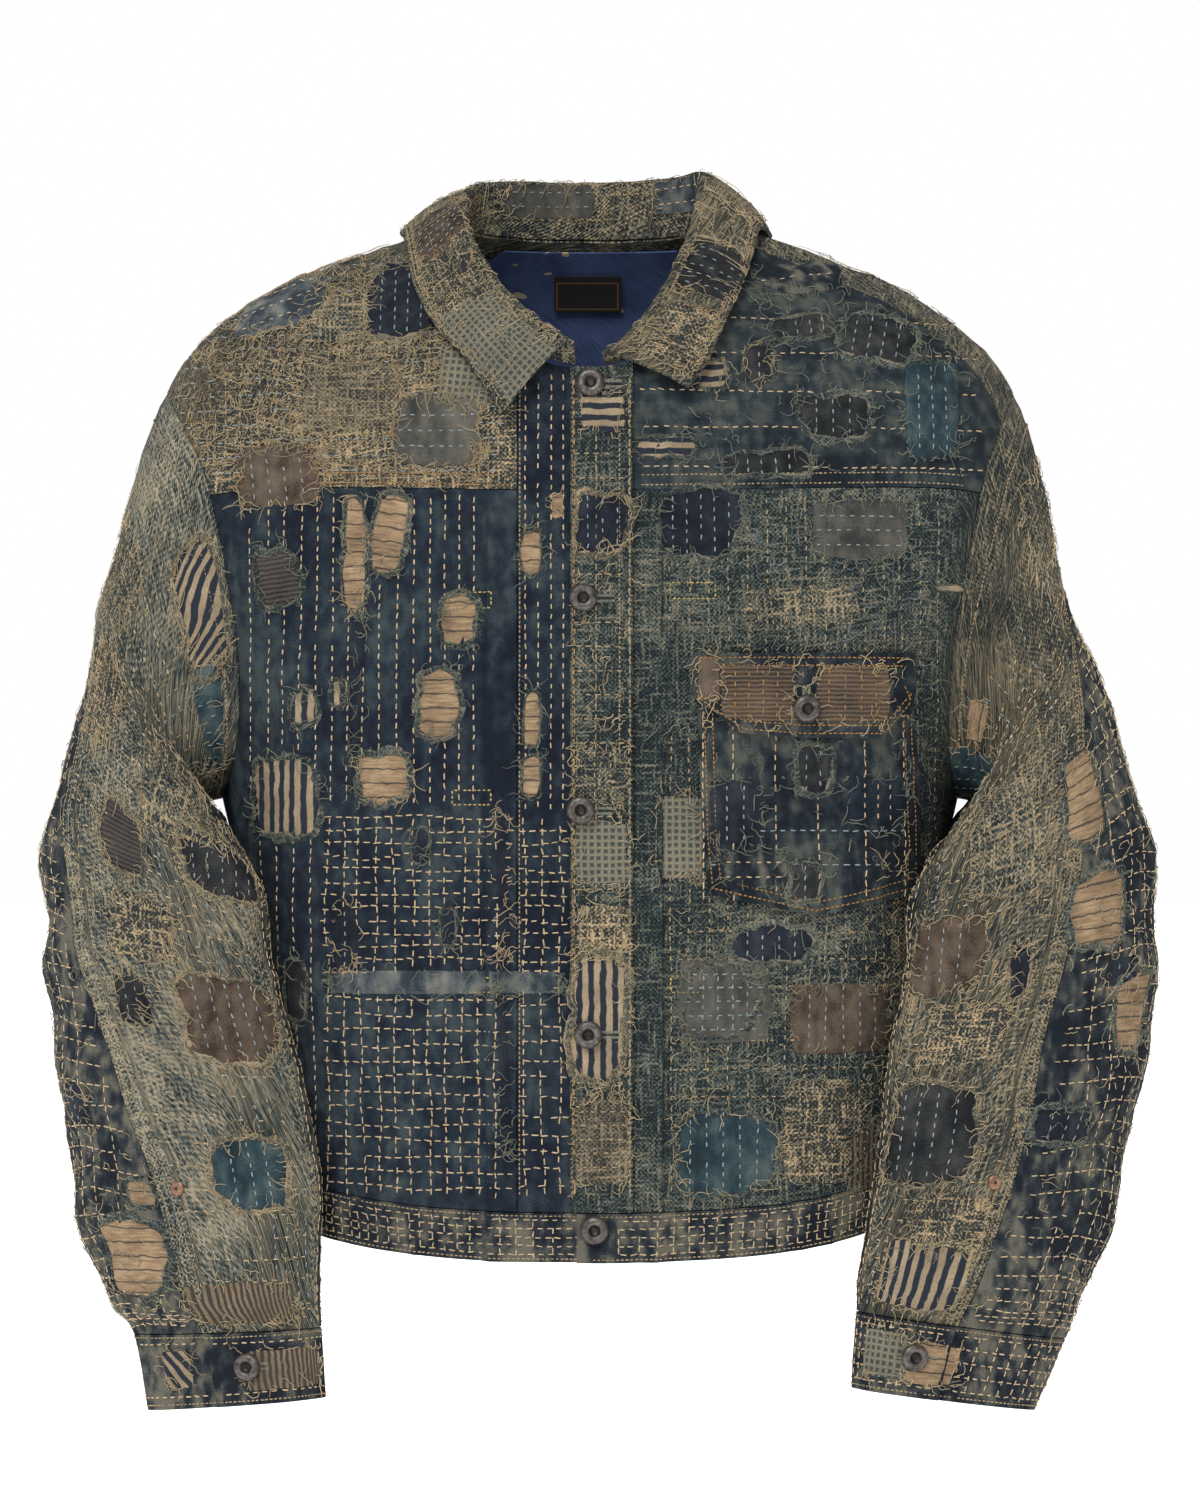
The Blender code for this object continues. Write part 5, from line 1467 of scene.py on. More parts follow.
def stitch_row(where, path, pitch=0.0062, length=0.0042, width=0.00082, finish="cream_thread", lift=0.0,
               skip=0.04, clear=True, waver=0.0004, seed=1):
    """Running stitches along a path: steps of one pitch, a few lost to wear."""
    ground = GROUNDS[where]
    rng = np.random.default_rng(seed)
    path = np.array(path, float)
    fine = np.linspace(0, len(path) - 1, 24 * (len(path) - 1) + 1)
    a, b = (np.interp(fine, np.arange(len(path)), path[:, k]) for k in (0, 1))
    pace_a, pace_b = ground.pace(a, b)
    steps = np.stack([np.diff(a) * (pace_a[1:] + pace_a[:-1]) / 2,
                      np.diff(b) * (pace_b[1:] + pace_b[:-1]) / 2])
    run = np.append(0, np.cumsum(np.linalg.norm(steps, axis=0)))
    places = np.arange(rng.uniform(0.3, 0.9) * pitch, run[-1] - length / 2, pitch)
    if not len(places):
        return
    places = places + rng.normal(0, pitch * 0.05, len(places))
    at_a, at_b = np.interp(places, run, a), np.interp(places, run, b)
    i = np.clip(np.searchsorted(run, places) - 1, 0, steps.shape[1] - 1)
    ways = unit(steps[:, i].T)
    sway = waver * rumple(stack(places, places * 0 + seed * 0.013, places * 0), 0.03, seed)
    local_a, local_b = np.interp(places, run, pace_a), np.interp(places, run, pace_b)
    at_a, at_b = at_a - ways[:, 1] * sway / local_a, at_b + ways[:, 0] * sway / local_b
    keep_it = (rng.random(len(places)) > skip) & ground.has(at_a, at_b)
    if clear:
        keep_it &= ~ground.covered(at_a, at_b, 1.04)
    if keep_it.any():
        spots = stack(at_a, at_b)[keep_it]
        stitch_beads(where, spots, ways[keep_it], length, width, finish, lift, seed)


# %% Loose threads
def strands(where, a, b, headings, lengths, finish, thickness, curl, lift, loft, stations, seed):
    """Three-sided tubes: the heading wanders, and the middle lifts off the cloth."""
    ground = GROUNDS[where]
    rng = np.random.default_rng(seed)
    count = len(a)
    pace_a, pace_b = (p[:, None] for p in ground.pace(a, b))
    bends = rng.normal(0, curl / math.sqrt(stations), (count, stations - 1)) + rng.normal(
        0, curl / stations, (count, 1))
    heading = headings[:, None] + np.cumsum(bends, axis=1)
    step = (lengths / (stations - 1))[:, None]
    zero = np.zeros((count, 1))
    across = np.concatenate([zero, np.cumsum(np.cos(heading) * step, axis=1)], axis=1)
    up = np.concatenate([zero, np.cumsum(np.sin(heading) * step, axis=1)], axis=1)
    f = np.linspace(0, 1, stations)
    arch = np.sin(math.pi * f) * rng.uniform(0.2, 1.0, (count, 1)) * loft
    droop = f * rng.uniform(0, 0.7, (count, 1)) * loft
    rise = lift + arch + droop - 0.0002 * (f < 0.01)
    points, normals = ground.at(a[:, None] + across / pace_a, b[:, None] + up / pace_b, rise)
    forward = unit(np.gradient(points, axis=1))
    beside = unit(np.cross(forward, normals))
    width = thickness * rng.uniform(0.7, 1.25, (count, 1, 1)) * (1 - 0.45 * f[None, :, None] ** 2)
    sides = [points - beside * width, points + normals * width * 1.5, points + beside * width]
    ring = np.stack(sides, axis=2)
    index = np.arange(count * stations * 3).reshape(count, stations, 3)
    here, ahead = index[:, :-1], index[:, 1:]
    walls = stack(here, np.roll(here, -1, axis=2), np.roll(ahead, -1, axis=2), ahead)
    ends = np.concatenate([index[:, 0, ::-1], index[:, -1]])
    THREADS[where].add(ring, [walls.reshape(-1, 4), ends.reshape(-1, 3)], finish)


def fray_out(where, a, b, turn, shape, finish, amount):
    """Broken threads round a patch's edge, some lying in and some out."""
    width, height, _, _, seed = shape
    rng = np.random.default_rng(seed * 13 + 5)
    count = int((width + height) * 2 / 0.0038 * amount)
    if count < 2:
        return
    edge, outwards = outline(shape, 200)
    pick = rng.integers(0, 200, count)
    inward = np.where(rng.random(count) < 0.6, -1, 1)[:, None]
    way = unit(outwards[pick] * inward + rng.normal(0, 0.7, (count, 2)))
    start = edge[pick] + outwards[pick] * 0.0008
    spots = laid_out(GROUNDS[where], a, b, start[:, 0], start[:, 1], turn)
    headings = np.arctan2(way[:, 1], way[:, 0]) + turn
    lengths = rng.uniform(0.003, 0.014, count)
    yarn = "teal_thread" if finish == "teal_fray" and seed % 4 else "loose_thread"
    strands(where, *spots, headings, lengths, yarn, 0.00025, 1.6, 0.0007, 0.0012, 5, seed)


def scatter_threads(where, finish, seed, count, a0, a1, b0, b1, short=0.006, long=0.02, curl=2.6,
                    thickness=0.0003, heading=None, spread_out=0.0):
    """Loose threads strewn over a stretch of a ground."""
    rng = np.random.default_rng(seed)
    a, b = rng.uniform(a0, a1, count), rng.uniform(b0, b1, count)
    clear = GROUNDS[where].has(a, b) & ~GROUNDS[where].covered(a, b, 0.95)
    a, b, count = a[clear], b[clear], int(clear.sum())
    headings = rng.uniform(-math.pi, math.pi, count)
    if heading is not None:
        headings = math.radians(heading) + rng.normal(0, spread_out, count)
    lengths = rng.uniform(short, long, count) * rng.uniform(0.6, 1.0, count)
    strands(where, a, b, headings, lengths, finish, thickness, curl, 0.0003, 0.0009, 6, seed)


# %% [markdown]
# ## Where the rags are
# One row for each rag: its middle, its width and height in millimetres, its cloth, "under" if it lies
# under a torn hole, and its turn in degrees. The middle is x and z in millimetres on the body, and
# the turn in degrees and the ring on a sleeve. Three narrow navy strips on the right front are not rags
# but painted shade: dark cloth laid along the long crease and the pleat folds where they fall into shadow.

# %% Rags on the fronts
def rags(where, rows, scale=0.001, **options):
    for a, b, width, height, finish, *more in rows_of(rows):
        kind = more.pop(0) if "under" in more else "over"
        spot, size = (float(a) * scale, float(b) * scale), (float(width) / 1000, float(height) / 1000)
        patch(where, *spot, *size, finish, kind, float(*more), **options)


rags("front_yoke_R", """
-119 -49 47 49 navy under
-198 -50 66 34 pale_indigo 18
-96 -135 54 44 grey
-196 -162 50 38 brown 6
-150 -112 60 44 tan_weave
-75 -98 34 40 towel_check -8
-160 -62 40 30 khaki_weave
""", threads=1.6)
rags("front_yoke_L", """
134 -68 40 15 charcoal under 8
181 -74 46 30 charcoal under -12
106 -91 17 24 charcoal under
152 -125 44 27 charcoal under
107 -156 54 16 charcoal under 4
45 -145 39 14 ticking_across under
77 -99 17 18 ticking_across under
133 -34 58 22 cross_indigo 10
215 -120 34 60 teal
""")
# The three navy strips 5 and 6 mm wide (at -54 -418, -53 -535 and -143 -300) are painted shade: dark cloth
# where the long crease and the pleat folds are in shadow.
rags("front_body_R", """
-195 -226 26 37 dark_rib under 8
-146 -209 15 72 lined_tan under
-124 -200 22 54 lined_tan under -8
-82 -253 22 31 lined_tan under
-94 -307 26 43 lined_tan under
-127 -351 34 31 lined_tan under
-190 -362 41 52 ticking_up under
-177 -307 17 23 ticking_up under
-156 -298 12 17 ticking_up under
-150 -451 15 40 navy
-88 -444 10 24 navy under
-183 -482 14 40 charcoal under
-105 -393 11 20 navy under
-54 -418 6 88 navy 2
-53 -535 6 104 navy 3
-143 -300 5 110 navy -2
-86 -478 140 14 pale_indigo
""")
rags("placket_R", """
-36 -212 13 30 lined_tan under
-36 -315 10 33 lined_tan under
-36 -352 12 26 lined_tan under
-20 -182 7 15 lined_tan
""")
rags("front_body_L", """
69 -193 54 42 navy under
168 -197 60 36 grey
226 -232 18 5 ticking_across under
56 -388 30 53 towel_check
84 -490 55 50 grey
84 -490 48 42 charcoal under
156 -501 62 44 brown
83 -583 64 52 teal under
150 -572 56 66 sand_weave
172 -587 26 45 brown_ticking
112 -455 50 24 navy under
205 -470 34 90 khaki_weave
130 -245 70 26 khaki_weave 5
50 -290 40 60 teal_weave
""")
rags("placket_L", """
8 -124 26 24 ticking_across
8 -194 33 42 navy under
8 -397 32 38 towel_check
7 -499 34 74 ticking_up under
8 -575 33 55 tan_weave
8 -445 33 30 sand_weave
8 -350 33 36 khaki_weave
""")
rags("pocket_L", """
138 -345 21 30 charcoal under
132 -416 17 26 charcoal under
187 -405 14 13 navy
90 -372 32 40 navy
176 -366 36 30 front_indigo
100 -408 40 24 cross_indigo
""")
rags("pocket_flap_L", """
102 -299 44 36 corduroy
160 -299 44 36 corduroy
73 -290 13 26 brown
""")

# %% Rags on the sleeves, the cuffs and the collar
rags("sleeve_upper_R", """
92 .26 76 30 ticking_slant under
122 .35 70 15 teal
92 3.4 34 40 dark_rib under
160 1.85 48 30 charcoal
150 3.15 50 34 charcoal under
138 5.3 62 56 brown under
90 5.25 31 31 charcoal
128 6.85 46 45 teal under
116 8.35 66 22 brown_ticking
100 4.35 44 40 sand_weave
125 2.35 60 44 khaki_weave
60 2 40 60 sand_weave
40 .9 60 50 khaki_weave
""", scale=1.0, threads=1.5)
rags("sleeve_under_R", """
66 7.65 50 48 lined_tan under
77 7.05 18 18 lined_tan under
48 6.3 16 26 navy
20 5.2 30 40 cross_indigo
-30 3.2 60 60 brown under
-90 2.2 50 60 ticking_up under
-75 4.6 54 44 grey
-120 4.2 44 50 lined_tan under
-60 6.6 50 60 teal
-130 7 40 44 charcoal under
""", scale=1.0)
rags("sleeve_upper_L", """
150 .55 38 58 teal
121 .4 24 12 lined_tan
152 4.55 44 48 brown
142 6.6 54 62 charcoal under
127 8.15 54 38 ticking_up
109 4.9 14 30 navy under
120 3 50 70 khaki_weave
132 5.6 50 40 sand_weave
118 7.4 46 36 sand_weave
40 .5 60 50 khaki_weave
""", scale=1.0, threads=1.5)
rags("sleeve_under_L", """
80 3.1 30 52 lined_tan under
76 4.3 46 45 lined_tan under
50 5.45 30 46 lined_tan under
80 6.5 40 24 navy under
62 5 26 18 navy
-40 2.6 60 60 towel_check
-95 3.4 50 52 brown under
-70 5.2 56 40 charcoal under
-120 5.9 44 60 teal
-50 7.2 46 44 ticking_up under
-110 1.9 46 40 lined_tan under
""", scale=1.0)
rags("cuff_R", """
62 9.5 20 24 ticking_slant
136 9.55 50 24 brown_ticking
""", scale=1.0)
rags("cuff_L", """
106 9.55 34 26 lined_tan
140 9.5 30 30 towel_check
""", scale=1.0)
rags("collar", """
.66 .22 40 44 towel_check
1.55 .22 40 44 towel_check
2.4 .22 40 44 towel_check
""", 1, roundness=0.1, threads=0.8)
rags("collar", "3.1 0.24 46 44 sand_weave", 1, threads=1.6)
rags("collar", "4.9 0.3 52 60 brown", 1, threads=1.5)
rags("collar", """
7.4 .3 60 50 khaki_weave
9.6 .28 60 50 teal
12 .3 58 50 tan_weave
""", 1)
rags("collar", "15.3 0.24 50 44 charcoal", 1, threads=1.5)
rags("collar", "17.4 0.24 48 40 sand_weave", 1, threads=1.6)
rags("collar", """
8.2 .8 60 26 grey
11.4 .8 56 26 pale_indigo
""", 1)

# %% Rags on the back
rags("back_yoke", """
-150 -60 80 50 sand_weave 6
-60 -70 66 56 brown under
30 -60 70 44 charcoal under
110 -75 60 60 tan_weave
180 -95 56 50 teal
-200 -120 50 44 ticking_across under
""")
rags("back_body", """
-170 -220 60 70 teal
-90 -230 70 60 lined_tan under
10 -225 80 70 front_indigo
110 -240 60 70 brown under
180 -260 50 90 khaki_weave
-160 -340 70 80 sand_weave
-60 -345 60 70 ticking_up under
40 -350 80 80 khaki_weave
130 -370 60 66 charcoal under
-140 -470 80 80 front_indigo
-40 -470 66 60 grey
60 -480 70 70 teal under
150 -500 60 80 sand_weave
-90 -560 60 44 lined_tan under
10 -565 70 50 corduroy
100 -575 60 44 cross_indigo
""")
print(sum(len(ground.patches) for ground in GROUNDS.values()), "rags")

# %% [markdown]
# ## Rows of running stitch
# The rags are held by rows of stitches, and so is the cloth between them: upright rows on the fronts,
# level rows on the yokes, and a grid of both on the lower right front, the under sleeves and the
# bands. A row steps over a rag, which has rows of its own.

# %% Rows on the fronts
counter = itertools.count(1)


def sew(where, path, **options):
    stitch_row(where, path, seed=next(counter), **options)


def upright(where, xs, low, high, **options):
    """Rows up a ground at each a, from b = low to b = high."""
    for x in xs:
        sew(where, [(x, low), (x, high)], **options)


def level(where, zs, left, right, **options):
    for z in zs:
        sew(where, [(left, z), (right, z)], **options)


def across_to(first, last, row, count=8):
    """Spots along a row, from one column or turn to another."""
    return [(first + (last - first) * f, row) for f in np.linspace(0, 1, count)]


def rows_on_rag(where, index, pitch, way, finish):
    """Rows of stitches across one rag, kept just inside its edge."""
    a, b, pace_a, pace_b, half_width, half_height, turn, _ = GROUNDS[where].patches[index]
    c, s = math.cos(turn), math.sin(turn)
    across_half, along_half = (half_width, half_height) if way == "up" else (half_height, half_width)
    count = max(int(2 * across_half * 0.86 / pitch), 1)
    for offset in (np.arange(count) - (count - 1) / 2) * pitch:
        reach = along_half * 0.96 * (1 - abs(offset / across_half) ** 3) ** (1 / 3)
        ends = [(offset, -reach), (offset, reach)] if way == "up" else [(-reach, offset), (reach, offset)]
        path = [(a + (p * c - q * s) / pace_a, b + (p * s + q * c) / pace_b) for p, q in ends]
        sew(where, path, clear=False, lift=0.0008, finish=finish, length=0.0033, width=0.0008)


GRID = dict(length=0.0049, width=0.0008, waver=0.0024, finish="straw_thread")
TAN = dict(length=0.0034, width=0.0008, waver=0.0012, finish="tan_thread")
BLUE = dict(length=0.004, width=0.0009, waver=0.0012, finish="blue_thread", skip=0.2)
front_rows = [-213, -201, -191, -180, -170, -160, -150, -140, -130, -119, -109, -99, -90, -81, -72]
upright("front_body_R", [x / 1000 for x in front_rows], -0.368, -0.172)
level("front_body_R", np.arange(-0.606, -0.478, 0.0098), -0.166, -0.046, **GRID)
level("front_body_R", np.arange(-0.472, -0.37, 0.008), -0.166, -0.046, **GRID)
upright("front_body_R", np.arange(-0.162, -0.048, 0.0104), -0.612, -0.372, **GRID)
upright("front_body_R", [-0.206, -0.1945, -0.183, -0.172], -0.612, -0.372)
upright("placket_R", [-0.04, -0.032, -0.024, -0.0165], -0.372, -0.1)
upright("placket_R", [-0.04, -0.029, -0.018], -0.612, -0.376, **GRID)
level("placket_R", np.arange(-0.606, -0.478, 0.0114), -0.044, -0.012, **GRID)
level("placket_R", np.arange(-0.472, -0.376, 0.008), -0.044, -0.012, **GRID)
upright("front_body_L", np.arange(0.05, 0.222, 0.012), -0.61, -0.175, **TAN)
level("front_body_L", np.arange(-0.6, -0.43, 0.017), 0.048, 0.205, **TAN)
level("front_yoke_L", [-0.0625, -0.0849, -0.1097, -0.1327, -0.1575], 0.03, 0.25)
upright("front_yoke_R", np.arange(-0.262, -0.052, 0.0108), -0.158, -0.012,
        **(TAN | dict(width=0.0009, waver=0.0014)))
level("front_yoke_R", np.arange(-0.16, -0.015, 0.0098), -0.262, -0.052, **BLUE)
upright("pocket_L", [0.07, 0.0885, 0.1148, 0.141, 0.168, 0.194], -0.428, -0.308, length=0.0048)
level("pocket_L", [-0.405, -0.384], 0.072, 0.2, finish="blue_thread")
upright("placket_L", [-0.0095, 0.004, 0.0245], -0.61, -0.1, finish="tan_thread", clear=False)
level("placket_L", np.arange(-0.6, -0.11, 0.015), -0.01, 0.025, finish="tan_thread")

# %% Rows on the bands, the sleeves and the back
BAND = dict(width=0.00072, waver=0.0008, finish="straw_thread")
for name, first, last in (("waistband_R", -88, 4), ("waistband_L", 2, 88), ("waistband_back", 92, 268)):
    for v in (0.0085, 0.017, 0.0255, 0.034, 0.042):
        sew(name, across_to(first, last, v), length=0.0046, **BAND)
    upright(name, np.arange(first, last, 2.3), 0.005, 0.045, length=0.0044, **BAND)

rings = np.linspace(0.2, 9, 60)
for side in SIDES:
    under, upper, end = f"sleeve_under_{side}", f"sleeve_upper_{side}", CUFF_END_ANGLE[side]
    meets = seam_turn(side, rings)
    for turn in np.arange(-172, 96, 10.5):
        reached = rings[meets - 5 > turn]
        if len(reached) and reached[0] < 8.4:
            down = 8.9 - reached[0]
            sew(under, [(turn - 14 * f, reached[0] + down * f) for f in np.linspace(0, 1, 6)], **GRID)
    for ring in np.arange(0.5, 8.9, 0.19):
        last = float(seam_turn(side, ring)) - 4
        path = [(-176 + (last + 176) * f, ring - 0.1 * math.sin(9 * f)) for f in np.linspace(0, 1, 9)]
        sew(under, path, **GRID)
    for turn in np.arange(-8, 176, 8.5):
        passed = rings[meets + 5 < turn]
        if len(passed) and passed[-1] > 0.8:
            sew(upper, [(turn, 0.4), (turn, passed[-1])], length=0.0036, width=0.00072, waver=0.0014,
                finish="blue_thread" if turn // 8.5 % 3 == 1 else "tan_thread", skip=0.12)
    for ring in np.arange(0.7, 8.8, 0.21):
        path = across_to(max(float(seam_turn(side, ring)) + 7, 2), 168, ring)
        sew(upper, path, length=0.0036, width=0.00068, finish="straw_thread", waver=0.0016, skip=0.4)
    for ring in (9.14, 9.32, 9.5, 9.68, 9.86) if side == "L" else (9.16, 9.84):
        sew(f"cuff_{side}", across_to(end + 3, end + 357, ring, 7))
    if side == "L":
        upright("cuff_L", end + np.arange(8, 352, 10.0), 9.07, 9.93, waver=0.0008)

for row in (0.06, 0.2, 0.34, 0.48, 0.78, 0.9):
    sew("collar", across_to(0.3, 18.7, row, 20), finish="tan_thread", width=0.0008)
upright("back_body", np.arange(-0.2, 0.201, 0.0125), -0.61, -0.145)
level("back_body", np.arange(-0.6, -0.33, 0.015), -0.15, 0.06, waver=0.0012)
level("back_yoke", np.arange(-0.125, -0.01, 0.013), -0.25, 0.25, finish="tan_thread", width=0.0008)

# %% [markdown]
# ## Seams, buttonholes and bar tacks
# The yokes, pocket and sleeves are sewn down with two close lines of machine stitches: the same beads,
# only finer and closer. A buttonhole is a dark slit with a dense rim of thread, and a bar tack a
# small outline of yellow stitches.

# %% Machine stitching
def machine(where, path, finish="tan_thread"):
    sew(where, path, pitch=0.003, length=0.0023, width=0.0008, finish=finish, skip=0.03, waver=0.0001,
        clear=False)


for panel, start, yarn in (("front_yoke_L", 1, "tan_thread"), ("front_yoke_R", 1, "orange_thread"),
                           ("back_yoke", 3, "tan_thread")):
    for up in (0.003, 0.0092):
        machine(panel, [(float(x), float(z) + up) for x, _, z in GRIDS[panel][0, start:-3:6]], yarn)
for x, yarn in ((-0.0106, "orange_thread"), (0.025, "tan_thread"), (0.0185, "tan_thread")):
    machine("placket_L", [(x, -0.612), (x, -0.36), (x, -0.104)], yarn)
machine("placket_R", [(-0.0435, -0.61), (-0.0435, -0.106)])
for inset in (0.0028, 0.0078):
    flap_path = [(x + inset * (k == 0) - inset * (k == len(FLAP["x"]) - 1), z + inset)
                 for k, (x, z) in enumerate(zip(FLAP["x"], FLAP["z_bottom"]))]
    machine("pocket_flap_L", flap_path, "orange_thread")
    machine("pocket_flap_L", [(0.066, -0.2745 - inset), (0.197, -0.2735 - inset)], "orange_thread")
    pocket_path = [(0.068 + inset, -0.31), (0.07 + inset, -0.39), (0.073 + inset, -0.4225 + inset),
                   (0.1385, -0.4365 + inset), (0.204 - inset, -0.4225 + inset), (0.2045 - inset, -0.39),
                   (0.2025 - inset, -0.31)]
    machine("pocket_L", pocket_path, "orange_thread")
rings_down = np.linspace(0.3, 8.9, 30)
for side in SIDES:
    for offset in (2.2, 6.2):
        machine(f"sleeve_upper_{side}", list(zip(seam_turn(side, rings_down) + offset, rings_down)))
    machine(f"sleeve_upper_{side}", [(turn, 0.16) for turn in range(-14, 176, 8)])
    for ring in (9.06, 9.94):
        machine(f"cuff_{side}", [(CUFF_END_ANGLE[side] + 2 + 45 * k, ring) for k in range(9)])
for row in (0.035, 0.075):
    machine("collar", across_to(0.2, 18.8, row, 24))
for name, first, last in (("waistband_R", -88, 4), ("waistband_L", 0, 88), ("waistband_back", 92, 268)):
    for v in (0.0035, 0.0465):
        machine(name, across_to(first, last, v))


# %% Buttonholes and bar tacks
def satin(where, a, b, length, way=(1, 0), half=0.0016):
    """Two banks of close beads across a slit that runs this way from (a, b)."""
    pace_a, pace_b = GROUNDS[where].pace_at(a, b)
    steps = np.arange(0, length, 0.001)
    for bank in (-1, 1):
        across = steps * way[0] - bank * half * way[1]
        up = steps * way[1] + bank * half * way[0]
        spots = stack(a + across / pace_a, b + up / pace_b)
        ways = np.broadcast_to([-way[1], way[0]], spots.shape).astype(float)
        stitch_beads(where, spots, ways, 0.0022, 0.0009, "teal_thread", 0.0002, next(counter))


for x, z in zip(BUTTON_XS[:4], BUTTON_ZS):
    patch("placket_L", x + 0.0125, z - 0.0002, 0.013, 0.0016, "charcoal", "over", 0.0, 0.3, 0.05, threads=0)
    satin("placket_L", x + 0.005, z - 0.0002, 0.015)
satin("pocket_flap_L", POCKET_BUTTON[0], POCKET_BUTTON[1] + 0.004, 0.011, (0, 1))
for side in SIDES:
    satin(f"cuff_{side}", CUFF_END_ANGLE[side] + CUFF_BUTTON_TURN, 9.5, 0.015)
for where, x, z, wide, high in (
    ("front_body_R", -0.061, -0.246, -0.024, 0.01), ("front_body_R", -0.061, -0.368, -0.024, 0.009),
    ("front_body_R", -0.061, -0.484, -0.024, 0.009), ("front_body_L", 0.05, -0.24, 0.028, 0.01),
    ("front_body_L", 0.05, -0.484, 0.024, 0.01),
):
    corners = [(x, z), (x + wide, z), (x + wide, z + high), (x, z + high), (x, z)]
    for ends in zip(corners[:-1], corners[1:]):
        machine(where, ends, "yellow_thread")

# %% Rows on the rags themselves
ROWS_ON = {}
for way, yarn, *finishes in rows_of("""
up blue navy charcoal brown teal
across blue grey
up tan khaki_weave sand_weave
across tan tan_weave
up cream front_indigo
across cream cross_indigo pale_indigo
up orange corduroy
"""):
    ROWS_ON.update(dict.fromkeys(finishes, (way, yarn + "_thread")))
for name, ground in GROUNDS.items():
    for index, spot in enumerate(ground.patches):
        if spot[7] in ROWS_ON and spot[4] > 0.007 and spot[5] > 0.007:
            rows_on_rag(name, index, 0.0086 + 0.0006 * (index % 4), *ROWS_ON[spot[7]])

# %% Loose threads strewn about
# Ground, yarn and seed; how many; from and to, across and up; then lengths, curl, thickness, heading.
STREWN = """
front_yoke_R loose 1 420 -.255 -.06 -.165 -.02 .01 .03 1.3 .00026 -90 .6
front_yoke_R tan 21 340 -.255 -.06 -.165 -.02
front_body_L teal 2 560 .05 .215 -.6 -.18 .005 .024 1.8 .00024
front_body_L loose 22 260 .05 .215 -.6 -.43 .005 .02 1.6 .00022
front_body_L blue 23 170 .05 .215 -.32 -.18 .005 .02 1.6 .0002 -90 .7
placket_L loose 3 160 -.01 .025 -.6 -.18
front_yoke_L teal 4 160 .06 .24 -.16 -.04
pocket_flap_L loose 5 60 .068 .196 -.322 -.276
pocket_L teal 6 60 .072 .2 -.42 -.31
sleeve_upper_L loose 7 400 10 165 .3 8.7 .005 .02 1.7 .00023
sleeve_upper_L teal 27 260 10 165 .3 8.7 .006 .024 1.4 .00022 90 .8
sleeve_under_L teal 9 120 -150 30 .6 8.7
sleeve_upper_R loose 8 400 10 165 .3 8.7 .005 .02 1.7 .00023
sleeve_upper_R teal 28 260 10 165 .3 8.7 .006 .024 1.4 .00022 90 .8
sleeve_under_R teal 10 120 -150 30 .6 8.7
collar loose 11 420 .2 18.8 .04 .6
back_yoke loose 12 340 -.22 .22 -.12 -.02
back_body teal 13 150 -.19 .19 -.6 -.15
"""
for where, yarn, seed, count, *numbers in rows_of(STREWN):
    scatter_threads(where, yarn + "_thread", int(seed), int(count), *map(float, numbers))

# %% Tapes inside the side, waist and placket seams
def seam_tape(where, v, turns):
    """A strip of cloth sewn inside a seam, behind both of its panels."""
    tape, tape_out = skin(v, turns, -(BAND_CLOTH + 0.0003))
    tape, tape_faces, tape_uv = wall_arrays(tape, tape_out, 0.0008, uv=stack(v, turns * 0.1))
    PATCHES[where].add(tape, [tape_faces], "cross_indigo", tape_uv)


for quarter in (-math.pi / 2, math.pi / 2):
    seam_tape("back_body", np.linspace(BAND_TOP_V + 0.014, UNDERARM_V + 0.01, 56)[:, None],
              quarter + np.linspace(-0.045, 0.045, 5)[None, :])
for side in SIDES:
    tape_v = np.linspace(BAND_TOP_V + 0.014, 0.985, 90)[:, None]
    tape_x = FRONT_EDGE_X[side] + np.linspace(-0.006, 0.006, 5)[None, :]
    seam_tape(f"front_body_{side}", tape_v, angle_at(tape_v, tape_x))
seam_tape("waistband_back", np.linspace(0.002, BAND_TOP_V + 0.012, 8)[:, None],
          np.linspace(-math.pi / 2 - 0.05, 3 * math.pi / 2 - 0.07, 200)[None, :])

SEWN_ON = {}
for name in GROUNDS:
    SEWN_ON[name] = [pile[name].make() for pile in (PATCHES, STITCHES, THREADS) if pile[name].points]
    print(name, [len(piece.data.polygons) for piece in SEWN_ON[name]])

# %% [markdown]
# ## Buttons and rivets
# The buttons are pressed metal donuts, turned from a profile with more steps than the solid has and
# tilted to lie on the cloth. Each stands in the place of the solid's own button.

# %% Turned metal
# Rows of radius and height, in hundredths of a millimetre.
BUTTON_PROFILE = [(0, 130), (120, 120), (220, 140), (310, 300), (400, 400), (580, 440), (700, 410),
                  (800, 320), (860, 210), (875, 130), (840, 20), (700, 0), (0, 0)]
RIVET_PROFILE = [(0, 160), (120, 150), (240, 130), (340, 110), (420, 80), (460, 30), (460, 0), (0, 0)]


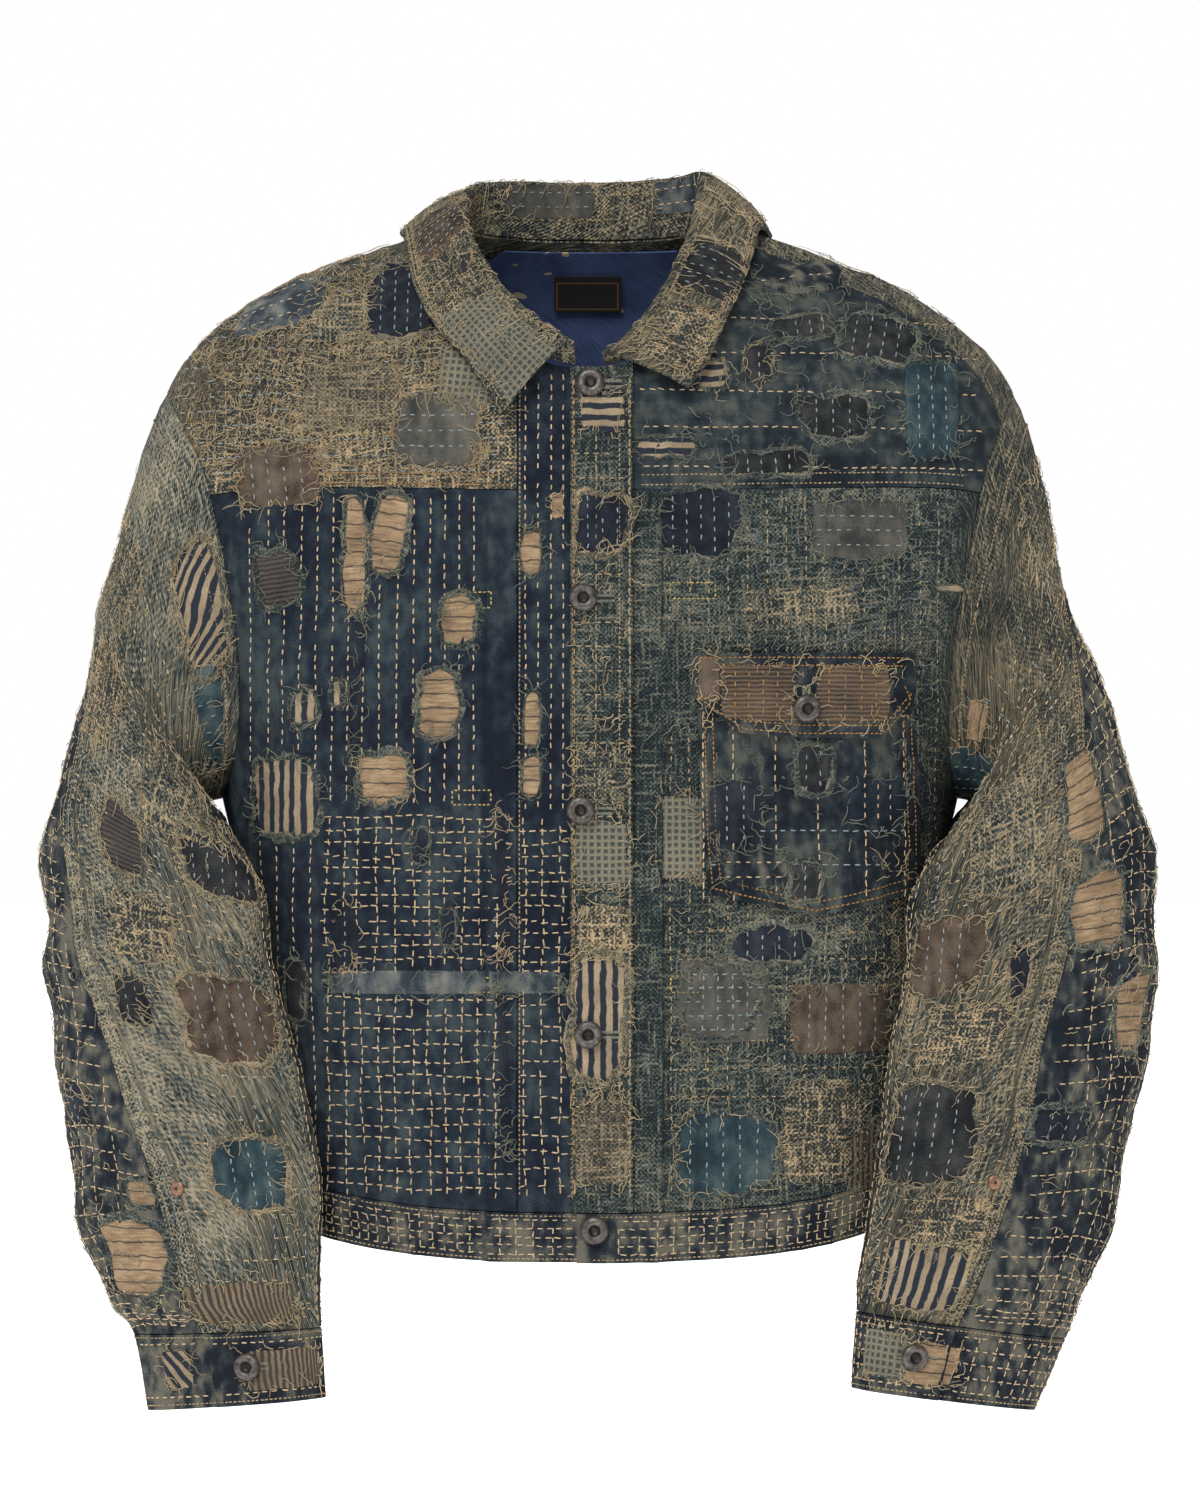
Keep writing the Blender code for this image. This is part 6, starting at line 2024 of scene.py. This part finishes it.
def turned(name, centre, normal, profile, finish, slot, steps=48, hollow=3):
    """The profile (radius, height) turned about the normal: a ring of points for each of its rows.
    The faces of its first rows, the hollow in the middle, are dark metal."""
    normal = unit(np.asarray(normal))
    right = unit(np.cross(normal, np.array([0.0, 0.0, 1.0])))
    up = np.cross(right, normal)
    radii, heights = np.array(profile).T / 1e5
    t = np.linspace(0, 2 * math.pi, steps, endpoint=False)
    spokes = np.cos(t)[:, None] * right + np.sin(t)[:, None] * up
    rings = centre + radii[1:-1, None, None] * spokes + heights[1:-1, None, None] * normal
    tips = np.stack([centre + heights[0] * normal, centre + heights[-1] * normal])
    points = np.concatenate([rings.reshape(-1, 3), tips])
    index = np.arange(len(rings) * steps).reshape(-1, steps)
    after = np.roll(index, -1, axis=1)
    walls = stack(index[:-1], index[1:], after[1:], after[:-1]).reshape(-1, 4)
    top = stack(np.full(steps, index.size), index[0], after[0])
    bottom = stack(np.full(steps, index.size + 1), after[-1], index[-1])
    triangles = np.concatenate([top, bottom])
    if np.dot(np.cross(right, up), normal) < 0:
        walls, triangles = walls[:, ::-1], triangles[:, ::-1]
    dark = np.concatenate([np.arange(len(walls)) < hollow * steps, np.arange(2 * steps) < steps])
    piece = new_piece(name + "_turned", points, [walls, triangles], [finish, "dark_metal"],
                      slots=dark.astype(int), sharp=75)
    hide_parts(name)


for number, (x, z) in enumerate(zip(BUTTON_XS, BUTTON_ZS), start=1):
    lift = LAP + 0.0007 + (BAND_CLOTH - CLOTH) * (number == 5)
    centre, normal = skin(*spot_at(x, z), lift)
    turned(f"button_{number}", centre, normal, BUTTON_PROFILE, "button_metal", "dark_metal")
centre, normal = skin(*spot_at(*POCKET_BUTTON), FLAP_LIFT + 0.0007)
turned("pocket_button_L", centre, normal, BUTTON_PROFILE, "button_metal", "dark_metal")
for side in SIDES:
    spot = (9.5, CUFF_END_ANGLE[side] + CUFF_BUTTON_TURN)
    centre, normal = sleeve_skin(side, *spot, cuff_lift(0.0) + 0.0007)
    turned(f"cuff_button_{side}", centre, normal, BUTTON_PROFILE, "button_metal", "dark_metal")
    centre, normal = sleeve_skin(side, 7.0, float(seam_turn(side, 7.0)) + 8.0, 0.0007)
    turned(f"vent_rivet_{side}", centre, normal, RIVET_PROFILE, "copper", "copper", 32, 0)
print("buttons and rivets turned")
# %% [markdown]
# ## Light and floor
# A pale floor and a soft studio: one wide sun from above and in front, a little to the left, and an
# even white world. The floor glows faintly, so that it reads as white.

# %% Stage
FLOOR_Z = -0.83
floor_mesh = bpy.data.meshes.new("floor")
turns = np.linspace(0, 2 * math.pi, 96, endpoint=False)
rim = stack(14 * np.cos(turns), 14 * np.sin(turns), np.full(96, FLOOR_Z))
floor_mesh.from_pydata(rim.tolist(), [], [list(range(96))])
floor = bpy.data.objects.new("floor", floor_mesh)
bpy.context.scene.collection.objects.link(floor)
paint = Finish("floor_paint", 0.9, 0.1)
paint.set(**{"Base Color": (0.8, 0.8, 0.8, 1), "Emission Color": (1, 1, 1, 1), "Emission Strength": 0.85})
floor_mesh.materials.append(paint.material)

sun = bpy.data.lights.new("soft_sun", "SUN")
sun.energy = 3.0
sun.angle = math.radians(28)
lamp = bpy.data.objects.new("soft_sun", sun)
lamp.rotation_euler = (math.radians(42), 0, math.radians(-24))
bpy.context.scene.collection.objects.link(lamp)
world = bpy.data.worlds.new("studio")
world.use_nodes = True
bpy.context.scene.world = world
background = world.node_tree.nodes["Background"]
path = world.node_tree.nodes.new("ShaderNodeLightPath")
scale = world.node_tree.nodes.new("ShaderNodeMapRange")
scale.inputs["To Min"].default_value = 0.55
scale.inputs["To Max"].default_value = 1.0
world.node_tree.links.new(path.outputs["Is Camera Ray"], scale.inputs["Value"])
world.node_tree.links.new(scale.outputs["Result"], background.inputs["Strength"])
background.inputs["Color"].default_value = (1, 1, 1, 1)
bpy.context.scene.view_settings.view_transform = "Standard"

# %% [markdown]
# ## What each cloth was cut from
# Each panel printed the flat size it was cut to as it was made. The sizes come from the grids: the
# longest run along a row and along a column, and the area. Here only the number of panels is printed.

# %% Sheets
print(len(CUTS), "cloth panels")
